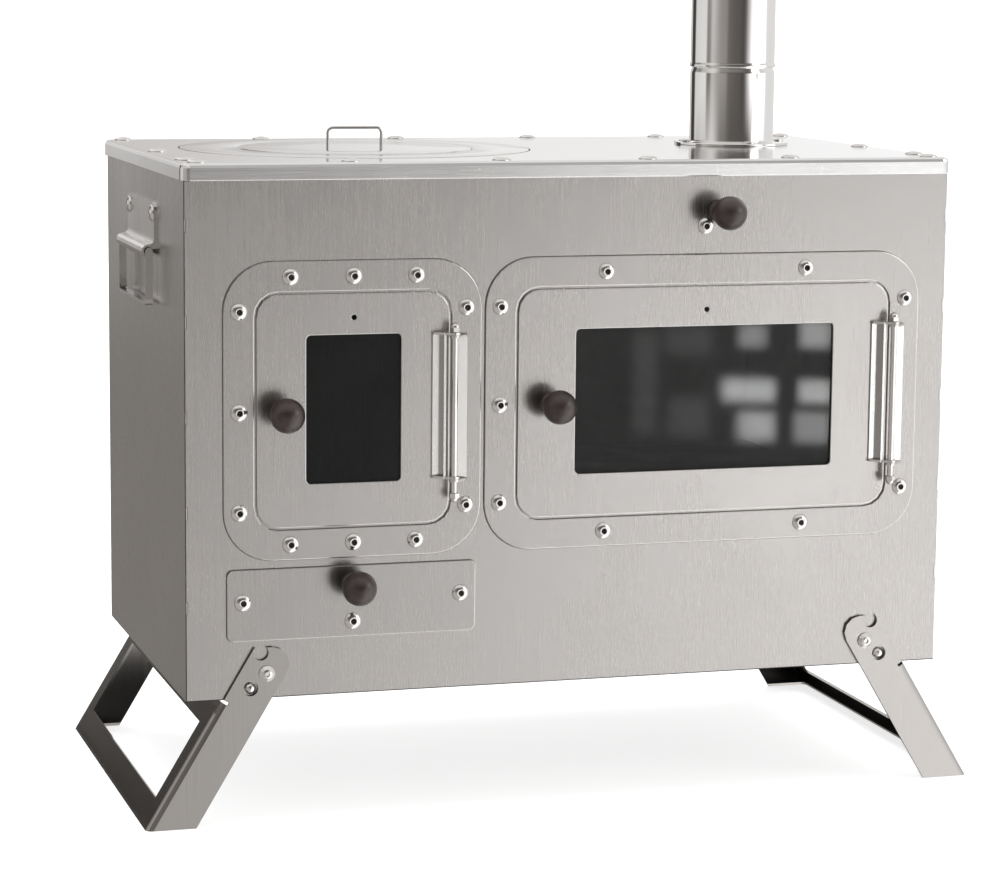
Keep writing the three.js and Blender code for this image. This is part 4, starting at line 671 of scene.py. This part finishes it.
def floor_and_wall():
    """A pale floor that runs up into a wall far behind the stove."""
    bm = bmesh.new()
    rows = []
    front, back, sweep, top, half_width = -6.0, 4.0, 1.5, 6.0, 9.0
    section = [(front, 0.0), (back, 0.0)]
    for i in range(1, 11):
        a = math.radians(9 * i)
        section.append((back + sweep * math.sin(a), sweep - sweep * math.cos(a)))
    section.append((back + sweep, top))
    for y, z in section:
        rows.append([bm.verts.new((x, y, z)) for x in (-half_width, half_width)])
    for first, second in zip(rows, rows[1:]):
        bm.faces.new((first[0], first[1], second[1], second[0])).smooth = True
    mesh = bpy.data.meshes.new("studio_floor")
    bm.to_mesh(mesh)
    bm.free()
    obj = bpy.data.objects.new("studio_floor", mesh)
    bpy.context.scene.collection.objects.link(obj)
    material, main = shader("studio_white", (0.42, 0.42, 0.42), 0.9)
    tree = material.node_tree
    tint = shade_between(tree, noise(tree, 3), (0.41, 0.41, 0.41), (0.43, 0.43, 0.43))
    link(tree, tint, main.inputs["Base Color"])
    main.inputs["Emission Color"].default_value = (1, 1, 1, 1)
    main.inputs["Emission Strength"].default_value = 0.78
    mesh.materials.append(material)
    obj.visible_glossy = False


def far_wall():
    """A white round wall that other views see behind the floor. It gives and takes no light."""
    bm = bmesh.new()
    radius, sides = 5.8, 96
    turns = [2 * math.pi * i / sides for i in range(sides)]
    rows = []
    for z in (-0.2, 9.0):
        rows.append([bm.verts.new((radius * math.cos(a), radius * math.sin(a), z)) for a in turns])
    for i in range(sides):
        j = (i + 1) % sides
        bm.faces.new((rows[0][i], rows[0][j], rows[1][j], rows[1][i])).smooth = True
    mesh = bpy.data.meshes.new("studio_far_wall")
    bm.to_mesh(mesh)
    bm.free()
    material, main = shader("far_white", (0.42, 0.42, 0.42), 0.9)
    main.inputs["Emission Color"].default_value = (1, 1, 1, 1)
    main.inputs["Emission Strength"].default_value = 1.0
    mesh.materials.append(material)
    obj = bpy.data.objects.new("studio_far_wall", mesh)
    bpy.context.scene.collection.objects.link(obj)
    obj.visible_glossy = obj.visible_shadow = obj.visible_diffuse = obj.visible_transmission = False


def floor_shade_card():
    """A dark card on the floor under the stove, seen only in reflections: painted shade standing for the
    floor's shadow under the stove.
    """
    bm = bmesh.new()
    half_width, front, back, lift = 0.36, -0.09, 0.2, 2 * MM
    outline = ((-half_width, front), (half_width, front), (half_width, back), (-half_width, back))
    bm.faces.new([bm.verts.new((x, y, lift)) for x, y in outline])
    mesh = bpy.data.meshes.new("floor_shade_card")
    bm.to_mesh(mesh)
    bm.free()
    mesh.materials.append(shader("card_black", (0.04, 0.038, 0.036), 0.9)[0])
    obj = bpy.data.objects.new("floor_shade_card", mesh)
    bpy.context.scene.collection.objects.link(obj)
    obj.visible_camera = obj.visible_shadow = obj.visible_diffuse = False


def softbox(name, place, aim, width, height, power, shines=True):
    light = bpy.data.lights.new(name, "AREA")
    light.shape = "RECTANGLE"
    light.size, light.size_y = width, height
    light.energy = power
    obj = bpy.data.objects.new(name, light)
    bpy.context.scene.collection.objects.link(obj)
    obj.location = place
    obj.rotation_euler = (Vector(aim) - Vector(place)).to_track_quat("-Z", "Y").to_euler()
    obj.visible_glossy = shines


floor_and_wall()
far_wall()
floor_shade_card()
softbox("overhead", (0.3, 0.5, 2.8), (0.1, 0.1, 0.3), 3.0, 2.6, 90, False)
softbox("right_key", (2.4, -1.8, 1.5), (0.1, 0.0, 0.3), 1.2, 1.2, 12)
softbox("wall_wash", (1.5, 2.4, 3.2), (1.5, 5.0, 1.2), 5.0, 1.5, 200, False)


def ramp(tree, value, stops):
    """Brightness over a value from 0 to 1, as stops of (place, brightness)."""
    node = tree.nodes.new("ShaderNodeValToRGB")
    node.color_ramp.interpolation = "EASE"
    elements = node.color_ramp.elements
    while len(elements) > 1:
        elements.remove(elements[-1])
    elements[0].position = stops[0][0]
    for place, _ in stops[1:]:
        elements.new(place)
    for element, (_, light) in zip(elements, stops):
        warmth = 0.09 * max(0.0, 1.0 - light)
        element.color = (light, light * (1 - warmth), light * (1 - 1.8 * warmth), 1)
    link(tree, value, node.inputs["Fac"])
    return node.outputs["Color"]


def window_pane(tree, azimuth, height, across, up, width, tall, soft, light):
    """A soft-edged bright pane in the world, in degrees."""
    parts = []
    for value, centre, size in ((azimuth, across, width), (height, up, tall)):
        away = combined(tree, "ABSOLUTE", combined(tree, "SUBTRACT", value, centre), 0)
        parts.append(spread(tree, away, 1.0, 0.0, size / 2, size / 2 + soft))
    return combined(tree, "MULTIPLY", combined(tree, "MULTIPLY", parts[0], parts[1]), light)


def studio_world():
    """The studio around the stove: dim behind the camera and to the left, a bright window side on
    the right, a bright ceiling. Azimuth runs from straight in front (0) towards +X, in degrees."""
    world = bpy.data.worlds.new("studio")
    bpy.context.scene.world = world
    world.use_nodes = True
    tree = world.node_tree
    place = tree.nodes.new("ShaderNodeTexCoord")
    split = tree.nodes.new("ShaderNodeSeparateXYZ")
    link(tree, place.outputs["Generated"], split.inputs["Vector"])
    x, y, z = (split.outputs[axis] for axis in "XYZ")
    turn = combined(tree, "ARCTAN2", x, combined(tree, "MULTIPLY", y, -1))
    azimuth = combined(tree, "MULTIPLY", turn, 180 / math.pi)
    height = combined(tree, "MULTIPLY", combined(tree, "ARCSINE", z, 0), 180 / math.pi)
    round_share = combined(tree, "ADD", combined(tree, "DIVIDE", azimuth, 360), 0.5)

    def stops(pairs):
        return [((degrees + 180) / 360, light) for degrees, light in pairs]

    seen = ramp(tree, round_share, stops(BELOW))
    for table, start, end in ((LEVEL, -7, -2), (DOME, 8, 20), (CEILING, 28, 50)):
        mix = tree.nodes.new("ShaderNodeMix")
        mix.data_type = "RGBA"
        link(tree, spread(tree, height, 0.0, 1.0, start, end), mix.inputs["Factor"])
        link(tree, seen, mix.inputs["A"])
        link(tree, ramp(tree, round_share, stops(table)), mix.inputs["B"])
        seen = mix.outputs["Result"]
    glow = None
    for pane in PANES:
        light = window_pane(tree, azimuth, height, *pane)
        glow = light if glow is None else combined(tree, "ADD", glow, light)
    total = tree.nodes.new("ShaderNodeMix")
    total.data_type = "RGBA"
    total.blend_type = "ADD"
    total.inputs["Factor"].default_value = 1.0
    link(tree, seen, total.inputs["A"])
    link(tree, glow, total.inputs["B"])
    background = tree.nodes["Background"]
    background.inputs["Strength"].default_value = 1.0
    link(tree, total.outputs["Result"], background.inputs["Color"])


# The world in tables of (azimuth, brightness): below the stove, about level with it, above it, and
# straight up. The panes are (azimuth, height, width, height of the pane, softness, brightness).
BELOW = [
    (-180, 0.25), (-150, 0.22), (-100, 0.5), (-40, 0.55), (-4, 0.5), (8, 0.72), (13, 0.92), (19, 1.36),
    (26, 1.75), (40, 1.75), (58, 2.0), (76, 2.0), (86, 0.8), (110, 0.72), (132, 0.72), (165, 0.7), (180, 0.25),
]
LEVEL = [
    (-180, 0.68), (-170, 0.8), (-165, 0.08), (-148, 0.05), (-140, 0.8), (-100, 0.9), (-94, 0.2),
    (-88, 0.2), (-78, 0.58), (-60, 0.42), (-40, 0.38), (-31, 0.18), (-5, 0.13), (9, 0.08), (15, 0.22),
    (20, 0.62), (24, 0.95), (28, 1.3), (31, 1.75), (37, 1.7), (45, 1.1), (50, 0.4), (55, 0.95), (62, 1.7),
    (76, 1.7), (86, 0.9), (110, 0.88), (140, 0.85), (155, 1.0), (163, 0.9), (171, 0.6), (176, 0.6),
]
DOME = [
    (-180, 0.9), (-175, 1.7), (-169, 1.6), (-160, 0.12), (-135, 0.12), (-110, 0.6), (-80, 0.8),
    (-50, 0.25), (-20, 0.12), (25, 0.1), (50, 0.7), (110, 0.95), (150, 0.95), (175, 0.8),
]
CEILING = [(-180, 1.0), (0, 0.9)]
PANES = [
    (21.3, -7.5, 0.75, 0.2, 0.2, 19.0),
    (21.45, -8.15, 0.45, 0.3, 0.2, 17.0),
    (22.55, -7.5, 0.45, 0.2, 0.2, 18.0),
    (22.5, -8.15, 0.5, 0.35, 0.2, 10.0),
    (21.35, -6.5, 0.3, 0.22, 0.2, 10.0),
    (22.55, -6.45, 0.45, 0.28, 0.2, 14.0),
    (20.2, -6.6, 0.6, 0.3, 0.25, 1.6),
    (20.2, -8.0, 0.5, 0.45, 0.25, 1.8),
    (19.4, -7.4, 0.25, 1.7, 0.2, 1.4),
]
studio_world()

# The camera that was fitted to the photograph's corners and circles.
LENS, SENSOR = 112.75, 36
EYE = Vector((-0.6324, -2.060725, 0.5461))
YAW, PITCH, ROLL = math.radians(16.728), math.radians(-8.475), math.radians(0.542)
ahead = Vector((math.sin(YAW) * math.cos(PITCH), math.cos(YAW) * math.cos(PITCH), math.sin(PITCH)))
level = Vector((math.cos(YAW), -math.sin(YAW), 0))
upright = level.cross(ahead)
right = math.cos(ROLL) * level + math.sin(ROLL) * upright
up = -math.sin(ROLL) * level + math.cos(ROLL) * upright
camera_data = bpy.data.cameras.new("camera")
camera_data.sensor_width = SENSOR
camera_data.lens = LENS
camera_data.clip_end = 50
camera = bpy.data.objects.new("camera", camera_data)
bpy.context.scene.collection.objects.link(camera)
turn = Matrix((right, up, -ahead)).transposed().to_4x4()
camera.matrix_world = Matrix.Translation(EYE) @ turn
bpy.context.scene.camera = camera

bpy.context.scene.view_settings.view_transform = "Standard"
bpy.context.scene.view_settings.look = "None"
bpy.context.scene.view_settings.exposure = 0.0
